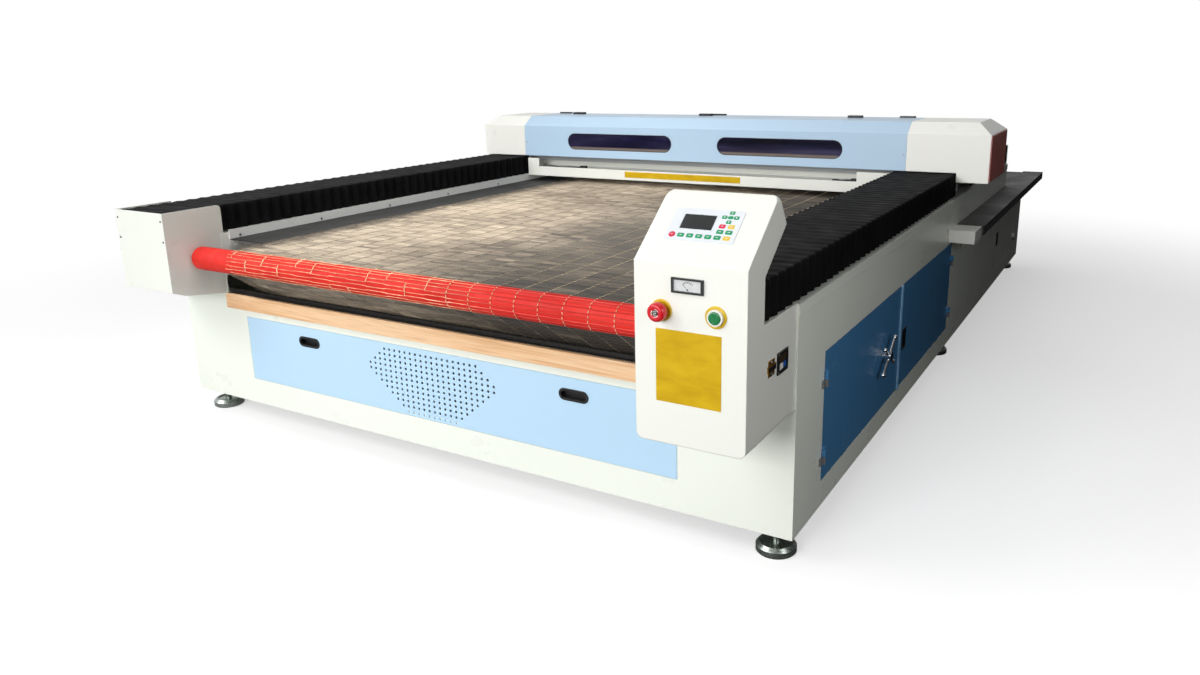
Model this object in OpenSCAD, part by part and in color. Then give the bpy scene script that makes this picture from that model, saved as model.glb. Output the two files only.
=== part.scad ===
// Fabric laser cutting machine with a conveyor bed and a travelling gantry.
// Millimetres. Inside the modules x runs from the cabinet's left side, y from its
// front face and z from its underside. place() then puts the origin on the floor,
// under the middle of the footprint, with +Z up and the front towards -Y.

/* [Cabinet] */
// Width of the cabinet
cab_w = 2200; // [1900:50:2600]
// Depth of the cabinet
cab_d = 3600; // [3000:50:4300]
// Depth of the low table behind the bed
table_d = 640; // [520:20:760]
// Height of the two side beams above the cabinet's underside
cab_h = 572; // [540:2:620]
// Height of the wall tops under the rear table
table_z = 457; // [440:1:460]
// Height of the front wall below the roller
front_h = 378; // [360:2:390]
// Thickness of the cabinet sheet
sheet = 3; // [2:0.5:5]
// Width of the left side beam
left_beam_w = 226; // [200:2:250]
// Width of the right side beam
right_beam_w = 242; // [220:2:270]
// Height of the raised band along the top of each side
band_h = 27; // [20:1:35]

/* [Feet] */
// Height of the levelling feet
foot_h = 70; // [50:5:110]
// Diameter of a foot's pad
foot_d = 100; // [70:5:120]
// Distance of a foot's axis from the cabinet's edges
foot_inset = 62; // [60:2:100]

/* [Front panel] */
// Height of the front panel
panel_h = 214; // [190:2:230]
// Distance of the panel's lower edge above the cabinet's underside
panel_z = 87; // [60:1:100]
// Distance of the panel's left edge from the cabinet's left side
panel_left = 309; // [280:1:360]
// Distance of the panel's right edge from the cabinet's right side
panel_right = 301; // [280:1:360]
// Diameter of a vent hole
vent_d = 8; // [5:0.5:10]
// Sideways pitch of the vent holes
vent_px = 20.4; // [18:0.2:24]
// Upright pitch of the vent holes
vent_pz = 16.7; // [14:0.1:17]
// Distance from the middle to a panel grip
grip_x = 499; // [420:1:560]

/* [Doors] */
// Distance of the first door's front edge from the cabinet's front
door_y = 195; // [150:5:260]
// Width of each side door
door_w = 737; // [600:1:760]
// Height of each side door
door_h = 341; // [300:1:350]
// Distance of the doors' lower edge above the cabinet's underside
door_z = 67; // [50:1:80]
// Width of the post between the two side doors
post_w = 13; // [10:1:30]
// Distance of the service door's front edge from the cabinet's rear
service_back = 825; // [800:5:900]
// Width of the service door
service_w = 600; // [500:10:640]

/* [Conveyor] */
// Diameter of the rollers' rubber
roller_d = 75; // [60:1:90]
// Distance of the front roller's axis in front of the cabinet
roller_y = 88; // [85:1:95]
// Height of the roller axes
roller_z = 510; // [505:1:515]
// Diameter of the roller shafts
shaft_d = 25; // [20:1:30]
// Height of the brush above the front wall
brush_up = 18; // [10:1:26]
// Thickness of the mesh belt
belt_t = 2.5; // [2:0.5:4]
// Gap between the left beam and the belt
belt_left = 174; // [100:2:200]
// Gap between the belt and the right beam
belt_right = 28; // [26:2:120]
// Number of bed slats
slat_n = 8; // [5:1:12]

/* [Gantry] */
// Distance of the gantry's front from the cabinet's front
gantry_y = 1688; // [1200:8:1900]
// Depth of the gantry housing
gantry_d = 360; // [320:4:400]
// Height of the housing's underside above the cabinet's underside
gantry_z = 668; // [660:2:700]
// Height of the housing's top above the cabinet's underside
gantry_top = 850; // [830:2:900]
// How far the housing stands out past the left side
over_left = 20; // [15:1:40]
// How far the housing stands out past the right side
over_right = 109; // [90:1:140]
// Width of the left end cap
cap_left_w = 237; // [220:1:260]
// Width of the right end cap
cap_right_w = 298; // [280:1:330]
// Rise and depth of the long bevels
bevel_y = 61; // [30:1:80]
// Depth of the end bevels
bevel_x = 53; // [30:1:80]
// Rise of the bevels
bevel_z = 42; // [20:1:60]
// Length of a viewing slot
slot_w = 541; // [400:1:600]
// Height of a viewing slot
slot_h = 74; // [50:2:90]

/* [Bellows] */
// Height of the bellows' top
bellows_top = 664; // [640:1:666]
// Height of the bellows' lower edge
bellows_z = 579; // [574:1:590]
// Length of one fold
fold = 46; // [30:1:60]
// Depth of one fold
fold_depth = 11; // [6:1:16]

/* [Console] */
// Width of the console
con_w = 249; // [240:1:300]
// How far the console stands out in front of the cabinet
con_y = 278; // [250:2:320]
// Height of the console's underside
con_z = 317; // [300:1:330]
// Height where the slanted face starts
con_bend = 703; // [690:1:720]
// Depth of the slanted face
con_run = 155; // [130:1:170]
// Rise of the slanted face
con_rise = 123; // [100:1:140]
// Travel of the emergency stop
stop_travel = 6; // [3:1:8]
// Travel of the start button
start_travel = 3; // [2:0.5:5]

/* [Hidden] */
$fn = 48;
eps = 1;
// running clearance of a pin or shaft in its hole, on the radius
run_fit = 0.05;
// gap round a door or panel
gap = 2;
// gap between curved faces on different bodies
soft_gap = 0.3;
bed_d = cab_d - table_d;
mid_x = cab_w / 2;
bed_x0 = left_beam_w;
bed_x1 = cab_w - right_beam_w;
bed_w = bed_x1 - bed_x0;
// limits of the whole footprint
plate_t = 3;
gland_out = 22;
foot_x0 = -over_left - plate_t;
foot_x1 = cab_w + over_right + plate_t;
ring_t = 2;
stop_cap = 22;
stop_front = ring_t + stop_travel + 1 + stop_cap;
foot_y0 = -con_y - stop_front;
foot_y1 = cab_d + gland_out;
origin_x = (foot_x0 + foot_x1) / 2;
origin_y = (foot_y0 + foot_y1) / 2;
panel_x0 = panel_left;
panel_x1 = cab_w - panel_right;
flange = 15;
door2_y = door_y + door_w + post_w;
service_y = cab_d - service_back;
// depth of a door shell, which shuts on the rim
door_t = 14;
rim_x = door_t + 1;
skirt_z = 430;
// rows of vent holes in a stretched hexagon
vent_rows = 12;
vent_wide = 7;
vent_first = 10;
grip_w = 92;
grip_h = 33;
grip_z = panel_z + 167;
strip_x0 = bed_x0 + 17;
wood_t = 18;
brush_t = 4;
brush_top = front_h + brush_up;
screw_pitch = 406;
box_x0 = -21;
box_x1 = bed_x0 - 1;
box_y = -193;
box_z = cab_h - 158;
box_top = bellows_top + 2;
trim_y0 = 30;
trim_t = 3;
belt_r = roller_d / 2 + belt_t;
belt_top = roller_z + belt_r;
trim_z = belt_top - 14;
trim_h = 44;
trim_r = 20;
ledge_x = cab_w + 98;
ledge_z = table_z + 8;
ledge_lip = 35;
bracket_y0 = gantry_y - 68;
bracket_d = 130;
pad_h = 26;
stem_d = 20;
hinge_r = 5;
pin_r = 2.5;
hinge_h = 38;
hinge_off = 6;
hinge_up = 50;
pin1_y = door_y;
pin2_y = door2_y + door_w;
pin3_y = service_y + service_w;
handle_y = door_y + 545;
handle_z = door_z + 171;
handle_r = 8;
pull_w = 44;
pull_h = 68;
pull2_y = door2_y + 45;
pull_z = door_z + 155;
pull3_y = service_y + 45;
// cross handle: hub, long bar, short bar and the latch arm inside the door
handle_out = 18;
long_l = 142;
long_a = 36;
short_l = 117;
short_a = -33;
cam_l = 200;
belt_x0 = bed_x0 + belt_left;
roll_x0 = bed_x0 + 6;
rear_y = bed_d + 50;
brush_gap = 0.4;
hang_dz = roller_z - brush_top - brush_gap;
hang_a = atan2(hang_dz, roller_y) - asin(belt_r / norm([roller_y, hang_dz]));
hang_y = 60;
hang_n = 6;
rise_n = 10;
slat_h = 20;
slat_w = 40;
bearing_w = 25;
shaft_x0 = bed_x0 - 90;
con_x1 = cab_w - 4;
con_x0 = con_x1 - con_w;
strip_x1 = con_x0;
roll_x1 = min(bed_x1 - 20, con_x0 - 9);
belt_x1 = min(bed_x1 - belt_right, roll_x1 - 8);
front_bearing_x = max(con_x0 + 4, bed_x1 - 7);
front_end_x = front_bearing_x + bearing_w;
rear_end_x = bed_x1 + 4 + bearing_w;
con_t = 2.5;
con_mid = (con_x0 + con_x1) / 2;
con_top = con_bend + con_rise;
con_back = con_y - 86;
shelf_z = cab_h + 2;
slant = atan2(con_rise, con_run);
con_r = 16;
stop_x = con_x0 + 63;
stop_z = 605;
start_x = con_x0 + 183;
start_z = 604;
meter_x = con_x0 + 121.5;
meter_z = 660.5;
meter_w = 70;
meter_h = 31;
pad_x = 119;
pad_s = 103.5;
pad_w = 152;
pad_l = 87;
lcd_x = 102.5;
lcd_s = 110.7;
lcd_w = 71.5;
lcd_l = 40;
// places of the keys, across and up the slope
key_row_s = 73.3;
key_pitch = 20;
key_x = 57.5;
pad_cx = 167.5;
pad_cs = 128.3;
key_places = concat(
  [for (i = [1:6]) [key_x + i * key_pitch, key_row_s]],
  [for (i = [5, 6], s = [88.8, 103.7]) [key_x + i * key_pitch, s]]);
arrow_places = concat([for (a = [0:90:270]) [pad_cx + 13 * cos(a), pad_cs + 12.4 * sin(a)]],
  [[pad_cx, pad_cs]]);
// ammeter: case with a recessed face, a needle and a clear window
meter_d = 5;
needle_l = 15;
// buttons on the front face
ring_r = 23;
stop_r = 20;
stop_shaft = 11;
start_r = 13;
gx0 = -over_left;
gx1 = cab_w + over_right;
cover_x0 = gx0 + cap_left_w;
cover_x1 = gx1 - cap_right_w;
gy0 = gantry_y;
gy1 = gantry_y + gantry_d;
skin = 2.5;
rail_x = 105;
rail_w = 20;
rail_h = 18;
car_h = 24;
car_l = 80;
car_w = 60;
leg_in = 40;
leg_z = cab_h + rail_h - 8 + car_h;
frame_z0 = 640;
frame_z1 = 740;
beam_y0 = gy0 + 82;
beam_y1 = gy0 + 162;
cover_mid = (cover_x0 + cover_x1) / 2;
slot_gap = 379;
slot_z = 740;
cap_drop = 35;
// tray under the housing's front, with a lip and two end tabs
tray_z0 = 574;
tray_z1 = 618;
tray_x0 = bed_x0 + 4;
tray_x1 = bed_x1 - 4;
strip_w = 563;
rail_x2 = cab_w - rail_x;
tube_y = gy0 + 290;
tube_z = 790;
tube_r = 40;
tube_x0 = cover_x0 + 60;
tube_x1 = cover_x1 - 60;
xr_z = 700;
xr_t = 12;
head_x = cover_mid;
head_y = beam_y1 + 55;
nozzle_z = 576;
bel_t = 2;
bel_left0 = -15;
bel_left1 = bed_x0 - 6;
bel_right0 = bed_x1 + 1;
bel_right1 = cab_w - 4;
bel_end = gy0 + leg_in - plate_t;

module place() {
  translate([-origin_x, -origin_y, foot_h]) children();
}

// a box from one corner to the other
module block(x0, x1, y0, y1, z0, z1) {
  translate([x0, y0, z0]) cube([x1 - x0, y1 - y0, z1 - z0]);
}

// a rod along x, y or z
module rod_x(x0, x1, y, z, r) {
  translate([x0, y, z]) rotate([0, 90, 0]) cylinder(h = x1 - x0, r = r);
}
module rod_y(y0, y1, x, z, r) {
  translate([x, y0, z]) rotate([-90, 0, 0]) cylinder(h = y1 - y0, r = r);
}

// an outline in the y-z plane carried along x
module side_shape(x0, x1) {
  translate([x0, 0, 0]) rotate([90, 0, 90]) linear_extrude(x1 - x0) children();
}
// an outline in the x-z plane carried along y
module front_shape(y0, y1) {
  translate([0, y1, 0]) rotate([90, 0, 0]) linear_extrude(y1 - y0) children();
}
// an outline's corners, anticlockwise, moved inwards by w
function left_of(a, b) = let(d = (b - a) / norm(b - a)) [-d[1], d[0]];
function inset(p, w) = [for (i = [0:len(p) - 1])
  let(n = len(p), u = left_of(p[(i + n - 1) % n], p[i]), v = left_of(p[i], p[(i + 1) % n]))
  p[i] + w * (u + v) / (1 + u * v)];
// a bar with round ends, lying along its first axis
module stadium(w, h) {
  square([w - h, h], center = true);
  for (s = [-1, 1]) translate([s * (w - h) / 2, 0]) circle(d = h);
}
// a rectangle with round corners
module round_rect(w, h, r) {
  square([w - 2 * r, h], center = true);
  square([w, h - 2 * r], center = true);
  for (sx = [-1, 1], sy = [-1, 1])
    translate([sx * (w / 2 - r), sy * (h / 2 - r)]) circle(r = r);
}

// ---- cabinet ----

// the cut-out and inner rim of a side door
module door_cut(y0, w) {
  block(cab_w - sheet - eps, cab_w + eps, y0, y0 + w, door_z, door_z + door_h);
}
module door_rim(y0, w) {
  difference() {
    block(cab_w - rim_x - sheet, cab_w - rim_x, y0 - flange, y0 + w + flange,
          door_z - flange, door_z + door_h + flange);
    block(cab_w - rim_x - sheet - eps, cab_w - rim_x + eps, y0 + flange,
          y0 + w - flange, door_z + flange, door_z + door_h - flange);
  }
  // returns that join the rim to the side sheet
  difference() {
    block(cab_w - rim_x - sheet, cab_w - eps, y0 - flange, y0 + w + flange,
          door_z - flange, door_z + door_h + flange);
    block(cab_w - rim_x - sheet - eps, cab_w, y0 - flange + sheet,
          y0 + w + flange - sheet, door_z - flange + sheet,
          door_z + door_h + flange - sheet);
  }
}

module cabinet() {
  color("whitesmoke") {
    difference() {
      union() {
        cube([cab_w, cab_d, table_z]);
        cube([bed_x0, bed_d, cab_h]);
        block(bed_x1, cab_w, 0, bed_d, 0, cab_h);
        // raised bands along the tops of the sides
        block(-2, 0, 0, bed_d, cab_h - band_h, cab_h);
        block(cab_w, cab_w + 2, 0, bed_d, cab_h - band_h, cab_h);
      }
      block(sheet, cab_w - sheet, sheet, cab_d - sheet, sheet, table_z + eps);
      block(sheet, bed_x0 - sheet, sheet, bed_d - sheet, sheet, cab_h - sheet);
      block(bed_x1 + sheet, cab_w - sheet, sheet, bed_d - sheet, sheet, cab_h - sheet);
      block(bed_x0, bed_x1, -eps, sheet + eps, front_h, table_z + eps);
      block(panel_x0 - 1, panel_x1 + 1, -eps, sheet + eps, panel_z - 1,
            panel_z + panel_h + 1);
      door_cut(door_y, door_w);
      door_cut(door2_y, door_w);
      door_cut(service_y, service_w);
    }
    // inner walls of the beams, down past the belt
    block(bed_x0 - sheet, bed_x0, sheet, bed_d, skirt_z, table_z + 2 * eps);
    block(bed_x1, bed_x1 + sheet, sheet, bed_d, skirt_z, table_z + 2 * eps);
    // upstands at the rear ends of the beams, which hold the rear bellows
    block(bel_left0, bel_left1, bed_d - sheet, bed_d, cab_h - eps, bellows_top);
    block(bel_right0, bel_right1, bed_d - sheet, bed_d, cab_h - eps, bellows_top);
    // rim behind the front panel
    difference() {
      block(panel_x0 - flange, panel_x1 + flange, sheet, 2 * sheet,
            panel_z - flange, panel_z + panel_h + flange);
      block(panel_x0 + flange, panel_x1 - flange, sheet - eps, 2 * sheet + eps,
            panel_z + flange, panel_z + panel_h - flange);
    }
    door_rim(door_y, door_w);
    door_rim(door2_y, door_w);
    door_rim(service_y, service_w);
  }
}

function vent_count(i) = i <= vent_wide ? vent_first + 2 * i
                                        : vent_first + 2 * (2 * vent_wide - i + 1);

module front_panel() {
  color("lightblue") difference() {
    block(panel_x0, panel_x1, 0, sheet, panel_z, panel_z + panel_h);
    for (i = [0:vent_rows - 1], j = [0:vent_count(i) - 1])
      rod_y(-eps, sheet + eps, mid_x + (j - (vent_count(i) - 1) / 2) * vent_px,
            panel_z + 11 + i * vent_pz, vent_d / 2, $fn = 16);
    for (s = [-1, 1])
      translate([mid_x + s * grip_x, 0, grip_z]) front_shape(-eps, sheet + eps)
        stadium(grip_w - 8, grip_h - 8);
  }
}

module panel_grips() {
  color("#202020") for (s = [-1, 1])
    translate([mid_x + s * grip_x, 0, grip_z]) difference() {
      union() {
        front_shape(-2, 0) stadium(grip_w, grip_h);
        front_shape(0, 18) stadium(grip_w - 8.6, grip_h - 8.6);
      }
      front_shape(-3, 16) stadium(grip_w - 14, grip_h - 14);
    }
}

module wood_strip() {
  color("burlywood")
    block(strip_x0, strip_x1, -brush_t - wood_t, -brush_t, front_h - 47, front_h);
}
module brush_strip() {
  color("#181818") block(strip_x0, strip_x1, -brush_t, 0, front_h - 43, brush_top);
}

module front_screws() {
  color("silver") {
    for (x = [strip_x0 + 249:screw_pitch:bed_x1 - 60])
      rod_y(-2, 0, x, front_h - 51.5, 4, $fn = 20);
    for (y = [trim_y0 + 40:345:bed_d - 60], s = [0, 1])
      rod_x(s ? bed_x1 - trim_t - 2 : bed_x0 + trim_t,
            s ? bed_x1 - trim_t : bed_x0 + trim_t + 2, y, trim_z + 22, 4, $fn = 20);
    for (x = [box_x0 + 10, box_x1 - 10], z = [box_top - 25, box_top - 90])
      rod_y(box_y - 2, box_y, x, z, 3.5, $fn = 20);
  }
}

// ---- left end box: an open-topped housing round the conveyor drive ----
module box_side() {
  polygon([[box_y, box_z], [box_y, box_top], [0, box_top], [0, box_z - 40],
           [box_y + 45, box_z - 18]]);
}
module left_end_box() {
  color("whitesmoke") difference() {
    union() {
      difference() {
        side_shape(box_x0, box_x1) box_side();
        side_shape(box_x0 + sheet, box_x1 - sheet)
          polygon([[box_y + sheet, box_z + sheet], [box_y + sheet, box_top + eps],
                   [eps, box_top + eps], [eps, box_z - 40 + sheet],
                   [box_y + 45, box_z - 18 + sheet]]);
      }
      // rear lip of the inner side, above the beam
      block(box_x1 - sheet, box_x1, -eps, 11, cab_h, box_top - 12);
      rod_x(box_x1 - sheet, box_x1, -1, box_top - 12, 12);
      // shelf that carries the motor
      block(box_x0 + sheet, box_x1 - sheet, box_y + 40, 0, roller_z - 51, roller_z - 45);
    }
    rod_x(box_x1 - sheet - eps, box_x1 + eps, -roller_y, roller_z, shaft_d / 2 + 3);
  }
}

// ---- rails along the inner feet of the bellows ----
module trim_shape() {
  translate([trim_y0 + trim_r, trim_z + trim_r]) circle(r = trim_r);
  translate([trim_y0 + trim_r, trim_z]) square([bed_d - trim_y0 - trim_r, trim_h]);
  translate([trim_y0, trim_z + trim_r]) square([trim_r + eps, trim_h - trim_r]);
}
module trim_rails() {
  color("gainsboro") {
    side_shape(bed_x0, bed_x0 + trim_t) trim_shape();
    side_shape(bed_x1 - trim_t, bed_x1) trim_shape();
  }
}

// ---- rear table, side ledge and its bracket ----
module rear_table() {
  color("#282828") block(0, cab_w, bed_d, cab_d, table_z, table_z + sheet);
}
module side_ledge() {
  color("#202020") difference() {
    block(cab_w, ledge_x, bracket_y0 + bracket_d, cab_d, ledge_z - ledge_lip, ledge_z);
    block(cab_w + sheet, ledge_x - sheet, bracket_y0 + bracket_d - eps, cab_d - sheet,
          ledge_z - ledge_lip - eps, ledge_z - sheet);
  }
}
module ledge_bracket() {
  color("white") difference() {
    block(cab_w, ledge_x - 8, bracket_y0, bracket_y0 + bracket_d, ledge_z - 47, ledge_z);
    block(cab_w - eps, ledge_x - 11, bracket_y0 + sheet, bracket_y0 + bracket_d - sheet,
          ledge_z - 44, ledge_z - sheet);
  }
}

// ---- feet ----
module levelling_feet() {
  color("silver")
    for (x = [foot_inset, cab_w - foot_inset],
         y = [foot_inset, cab_d / 2, cab_d - foot_inset])
      translate([x, y, -foot_h]) {
        rotate_extrude() polygon([[0, 0], [foot_d / 2 - 3, 0], [foot_d / 2, 3],
          [foot_d / 2, pad_h - 9], [foot_d / 2 - 8, pad_h], [foot_d / 2 - 12, pad_h],
          [foot_d / 2 - 15, pad_h - 4], [stem_d / 2 + 8, pad_h - 2], [0, pad_h - 2]]);
        cylinder(h = foot_h, d = stem_d);
        translate([0, 0, foot_h - 16]) cylinder(h = 16, r = 18, $fn = 6);
      }
}

// ---- side doors ----
// a folded shell with its open side inwards
module door_shell(y0, w) {
  difference() {
    block(cab_w - door_t, cab_w, y0 + gap, y0 + w - gap, door_z + gap,
          door_z + door_h - gap);
    block(cab_w - door_t - eps, cab_w - sheet, y0 + gap + sheet, y0 + w - gap - sheet,
          door_z + gap + sheet, door_z + door_h - gap - sheet);
  }
}
// knuckle, leaf and height of one hinge half; s is +1 where the leaf runs to +y
module hinge_half(y, z, h, s) {
  translate([cab_w + hinge_off, y, z]) cylinder(h = h, r = hinge_r);
  block(cab_w, cab_w + hinge_off, s > 0 ? y : y - 20, s > 0 ? y + 20 : y, z, z + h);
}
module hinge_bore(y, z) {
  translate([cab_w + hinge_off, y, z - eps]) cylinder(h = hinge_h, r = pin_r + run_fit);
}
function hinge_zs() = [door_z + hinge_up, door_z + door_h - hinge_up - hinge_h];
// the halves that lift off with a door; y is the pin, s the side the door lies on
module door_knuckles(y, s) {
  for (z = hinge_zs()) difference() {
    hinge_half(y, z + hinge_h / 2 + 0.5, hinge_h / 2 - 0.5, s);
    hinge_bore(y, z + hinge_h / 2);
  }
}
module fixed_knuckles(y, s) {
  for (z = hinge_zs()) {
    hinge_half(y, z, hinge_h / 2 - 0.5, s);
    translate([cab_w + hinge_off, y, z]) cylinder(h = hinge_h - 2, r = pin_r);
  }
}

module front_door() {
  color("steelblue") difference() {
    union() {
      door_shell(door_y, door_w);
      door_knuckles(pin1_y, 1);
    }
    rod_x(cab_w - sheet - eps, cab_w + eps, handle_y, handle_z, handle_r + run_fit);
  }
}
module pull_hole(y) {
  translate([0, y, pull_z]) side_shape(cab_w - sheet - eps, cab_w + eps)
    square([pull_w - 8, pull_h - 8], center = true);
}
module rear_door() {
  color("steelblue") difference() {
    union() {
      door_shell(door2_y, door_w);
      door_knuckles(pin2_y, -1);
    }
    pull_hole(pull2_y);
  }
}
module service_door() {
  color("whitesmoke") difference() {
    union() {
      door_shell(service_y, service_w);
      door_knuckles(pin3_y, -1);
    }
    pull_hole(pull3_y);
  }
}
module door_pull(y) {
  color("#181818") translate([0, y, pull_z]) difference() {
    union() {
      side_shape(cab_w, cab_w + 2) square([pull_w, pull_h], center = true);
      side_shape(cab_w - 12, cab_w) square([pull_w - 8.6, pull_h - 8.6], center = true);
    }
    side_shape(cab_w - 10, cab_w + 3) square([pull_w - 14, pull_h - 14], center = true);
  }
}
module door_hinges() {
  color("silver") {
    fixed_knuckles(pin1_y, -1);
    fixed_knuckles(pin2_y, 1);
    fixed_knuckles(pin3_y, 1);
  }
}
module door_post() {
  color("skyblue")
    block(cab_w, cab_w + 4, door_y + door_w + 1, door2_y - 1, door_z, door_z + door_h);
}

module handle_bar(l, a, r) {
  translate([cab_w + handle_out, handle_y, handle_z]) rotate([a, 0, 0]) {
    translate([0, -l / 2, 0]) rotate([-90, 0, 0]) cylinder(h = l, r = r, $fn = 24);
    for (s = [-1, 1]) translate([0, s * l / 2, 0]) sphere(r = r + 3, $fn = 32);
  }
}
module cross_handle() {
  color("gainsboro") {
    rod_x(cab_w - rim_x - 9, cab_w + 5, handle_y, handle_z, handle_r);
    rod_x(cab_w + soft_gap, cab_w + handle_out + 9, handle_y, handle_z, 15);
    handle_bar(long_l, long_a, 5);
    handle_bar(short_l, short_a, 4);
    block(cab_w - rim_x - 9, cab_w - rim_x - 4, handle_y - cam_l, handle_y + 14,
          handle_z - 9, handle_z + 9);
  }
}

// ---- conveyor ----

module roller(y) {
  color("orangered") difference() {
    rod_x(roll_x0, roll_x1, y, roller_z, roller_d / 2 - soft_gap, $fn = 96);
    rod_x(roll_x0 - eps, roll_x1 + eps, y, roller_z, shaft_d / 2);
  }
}
module front_roller() {
  roller(-roller_y);
}
module rear_roller() {
  roller(rear_y);
}
module front_shaft() {
  color("silver") rod_x(shaft_x0, front_end_x, -roller_y, roller_z, shaft_d / 2);
}
module rear_shaft() {
  color("silver") rod_x(bed_x0 - 30, rear_end_x, rear_y, roller_z, shaft_d / 2);
}
// a block bearing with its foot towards y1
module bearing(x0, y, y1) {
  difference() {
    union() {
      rod_x(x0, x0 + bearing_w, y, roller_z, 30);
      block(x0, x0 + bearing_w, min(y, y1), max(y, y1), roller_z - 30, roller_z + 30);
    }
    rod_x(x0 - eps, x0 + bearing_w + eps, y, roller_z, shaft_d / 2 + run_fit);
  }
}
module roller_bearings() {
  color("dimgray") {
    bearing(box_x1 - sheet - bearing_w, -roller_y, 0);
    bearing(front_bearing_x, -roller_y, 0);
    bearing(bed_x0 - 4 - bearing_w, rear_y, bed_d);
    bearing(bed_x1 + 4, rear_y, bed_d);
  }
}
// gear motor in line with the front roller's shaft
module conveyor_motor() {
  color("#3a3a3c") difference() {
    union() {
      block(box_x0 + 120, bed_x0 - 36, -roller_y - 45, -roller_y + 45,
            roller_z - 45, roller_z + 45);
      rod_x(box_x0 + 20, box_x0 + 120, -roller_y, roller_z, 42);
    }
    rod_x(shaft_x0 - eps, bed_x0, -roller_y, roller_z, shaft_d / 2 + run_fit);
  }
}
// the outer face of the slack return run: it leaves the front roller at hang_a, passes over
// the brush and rises to the rear roller; w moves it inwards
function hang_pts(w) = [for (i = [0:hang_n]) let(q = hang_y * i / hang_n)
  [q, brush_top + brush_gap + w / cos(hang_a) - tan(hang_a) * (q - q * q / hang_y / 2)]];
function rise_pts(w) = let(z0 = hang_pts(w)[hang_n][1], z1 = roller_z - belt_r + w)
  [for (i = [1:rise_n]) let(u = i / rise_n)
    [hang_y + (rear_y - hang_y) * u, z0 + (z1 - z0) * u * u * (3 - 2 * u)]];
module belt_outline(w) {
  r = belt_r - w;
  // the slack run starts a little inside the arc, so that it cuts the arc cleanly
  q = r - 0.3;
  translate([-roller_y, roller_z]) circle(r = r, $fn = 96);
  translate([rear_y, roller_z]) circle(r = r, $fn = 96);
  polygon(concat([[rear_y, roller_z + r], [-roller_y, roller_z + r],
    [-roller_y - q * sin(hang_a), roller_z - q * cos(hang_a)]], hang_pts(w), rise_pts(w)));
}
module mesh_belt() {
  color("tan") difference() {
    side_shape(belt_x0, belt_x1) belt_outline(0);
    side_shape(belt_x0 - eps, belt_x1 + eps) belt_outline(belt_t);
  }
}
module bed_slats() {
  color("darkgray") for (i = [0:slat_n - 1])
    block(bed_x0 + trim_t, bed_x1 - trim_t, slat_y(i), slat_y(i) + slat_w, belt_top - belt_t - slat_h,
          belt_top - belt_t);
}
function slat_y(i) = 60 + i * (bed_d - 120 - slat_w) / (slat_n - 1);
module bed_side_plates() {
  color("#303030") {
    block(bed_x0 + trim_t, belt_x0 - 2, trim_y0, bed_d, belt_top - belt_t, belt_top);
    block(belt_x1 + 2, bed_x1 - trim_t, trim_y0, bed_d, belt_top - belt_t, belt_top);
  }
}

// ---- console ----
// the console's side outline; e is how far its open back runs on
function con_pts(e) = [[-con_y, con_z], [e, con_z], [e, shelf_z], [-con_back, shelf_z],
  [-con_back, con_top - 153], [-con_y + con_run + 42, con_top - 64],
  [-con_y + con_run, con_top], [-con_y, con_bend]];
module con_solid(e, w) {
  intersection() {
    side_shape(con_x0 + w, con_x1 - w) polygon(inset(con_pts(e), w));
    translate([con_mid, 0, (con_z + con_top) / 2]) front_shape(-con_y - eps, e + eps)
      round_rect(con_w - 2 * w, con_top - con_z - 2 * w, con_r - w);
  }
}
module console_housing() {
  color("white") difference() {
    con_solid(0, 0);
    con_solid(con_t + eps, con_t);
    rod_y(-con_y - eps, -con_y + 8, stop_x, stop_z, stop_shaft + run_fit);
    rod_y(-con_y - eps, -con_y + 8, start_x, start_z, start_r + 2);
    rod_x(con_x0 - eps, con_x0 + 8, -roller_y, roller_z, shaft_d / 2 + 3);
    block(meter_x - meter_w / 2 + 4, meter_x + meter_w / 2 - 4, -con_y - eps,
          -con_y + 8, meter_z - meter_h / 2 + 4, meter_z + meter_h / 2 - 4);
  }
}
// lays a drawing on the slanted face: x across, y up the slope, z outwards
module on_slant() {
  translate([con_x0, -con_y, con_bend]) rotate([slant, 0, 0]) children();
}
module control_panel() {
  color("gainsboro") on_slant() difference() {
    translate([pad_x, pad_s, 0]) linear_extrude(1.5) round_rect(pad_w, pad_l, 5);
    translate([lcd_x, lcd_s, -eps]) linear_extrude(4) square([lcd_w, lcd_l], center = true);
  }
}
module display() {
  color("#303434") on_slant() translate([lcd_x, lcd_s, 0]) linear_extrude(1)
    square([lcd_w - 0.4, lcd_l - 0.4], center = true);
}
module keypad() {
  color("seagreen") on_slant() translate([0, 0, 1.5]) {
    for (p = key_places) translate(p) linear_extrude(0.8) round_rect(14, 10, 2, $fn = 16);
    for (p = arrow_places) translate(p) linear_extrude(0.8) round_rect(11, 8.6, 2, $fn = 16);
    translate([key_x, key_row_s]) cylinder(h = 0.8, r = 7);
  }
}
module meter_case() {
  color("#202020") difference() {
    union() {
      block(meter_x - meter_w / 2, meter_x + meter_w / 2, -con_y - meter_d, -con_y,
            meter_z - meter_h / 2, meter_z + meter_h / 2);
      block(meter_x - meter_w / 2 + 4.3, meter_x + meter_w / 2 - 4.3, -con_y,
            -con_y + 25, meter_z - meter_h / 2 + 4.3, meter_z + meter_h / 2 - 4.3);
    }
    block(meter_x - 30, meter_x + 30, -con_y - meter_d - eps, -con_y, meter_z - 11.5,
          meter_z + 11.5);
    rod_y(-con_y - eps, -con_y + 4, meter_x, meter_z - 8, 1.5 + run_fit);
  }
}
module meter_needle() {
  color("black") {
    rod_y(-con_y - 2.4, -con_y + 3.5, meter_x, meter_z - 8, 1.5);
    translate([meter_x, -con_y - 1.8, meter_z - 8]) rotate([0, -45, 0])
      translate([-0.4, 0, 0]) cube([0.8, 0.6, needle_l]);
  }
}
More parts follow.
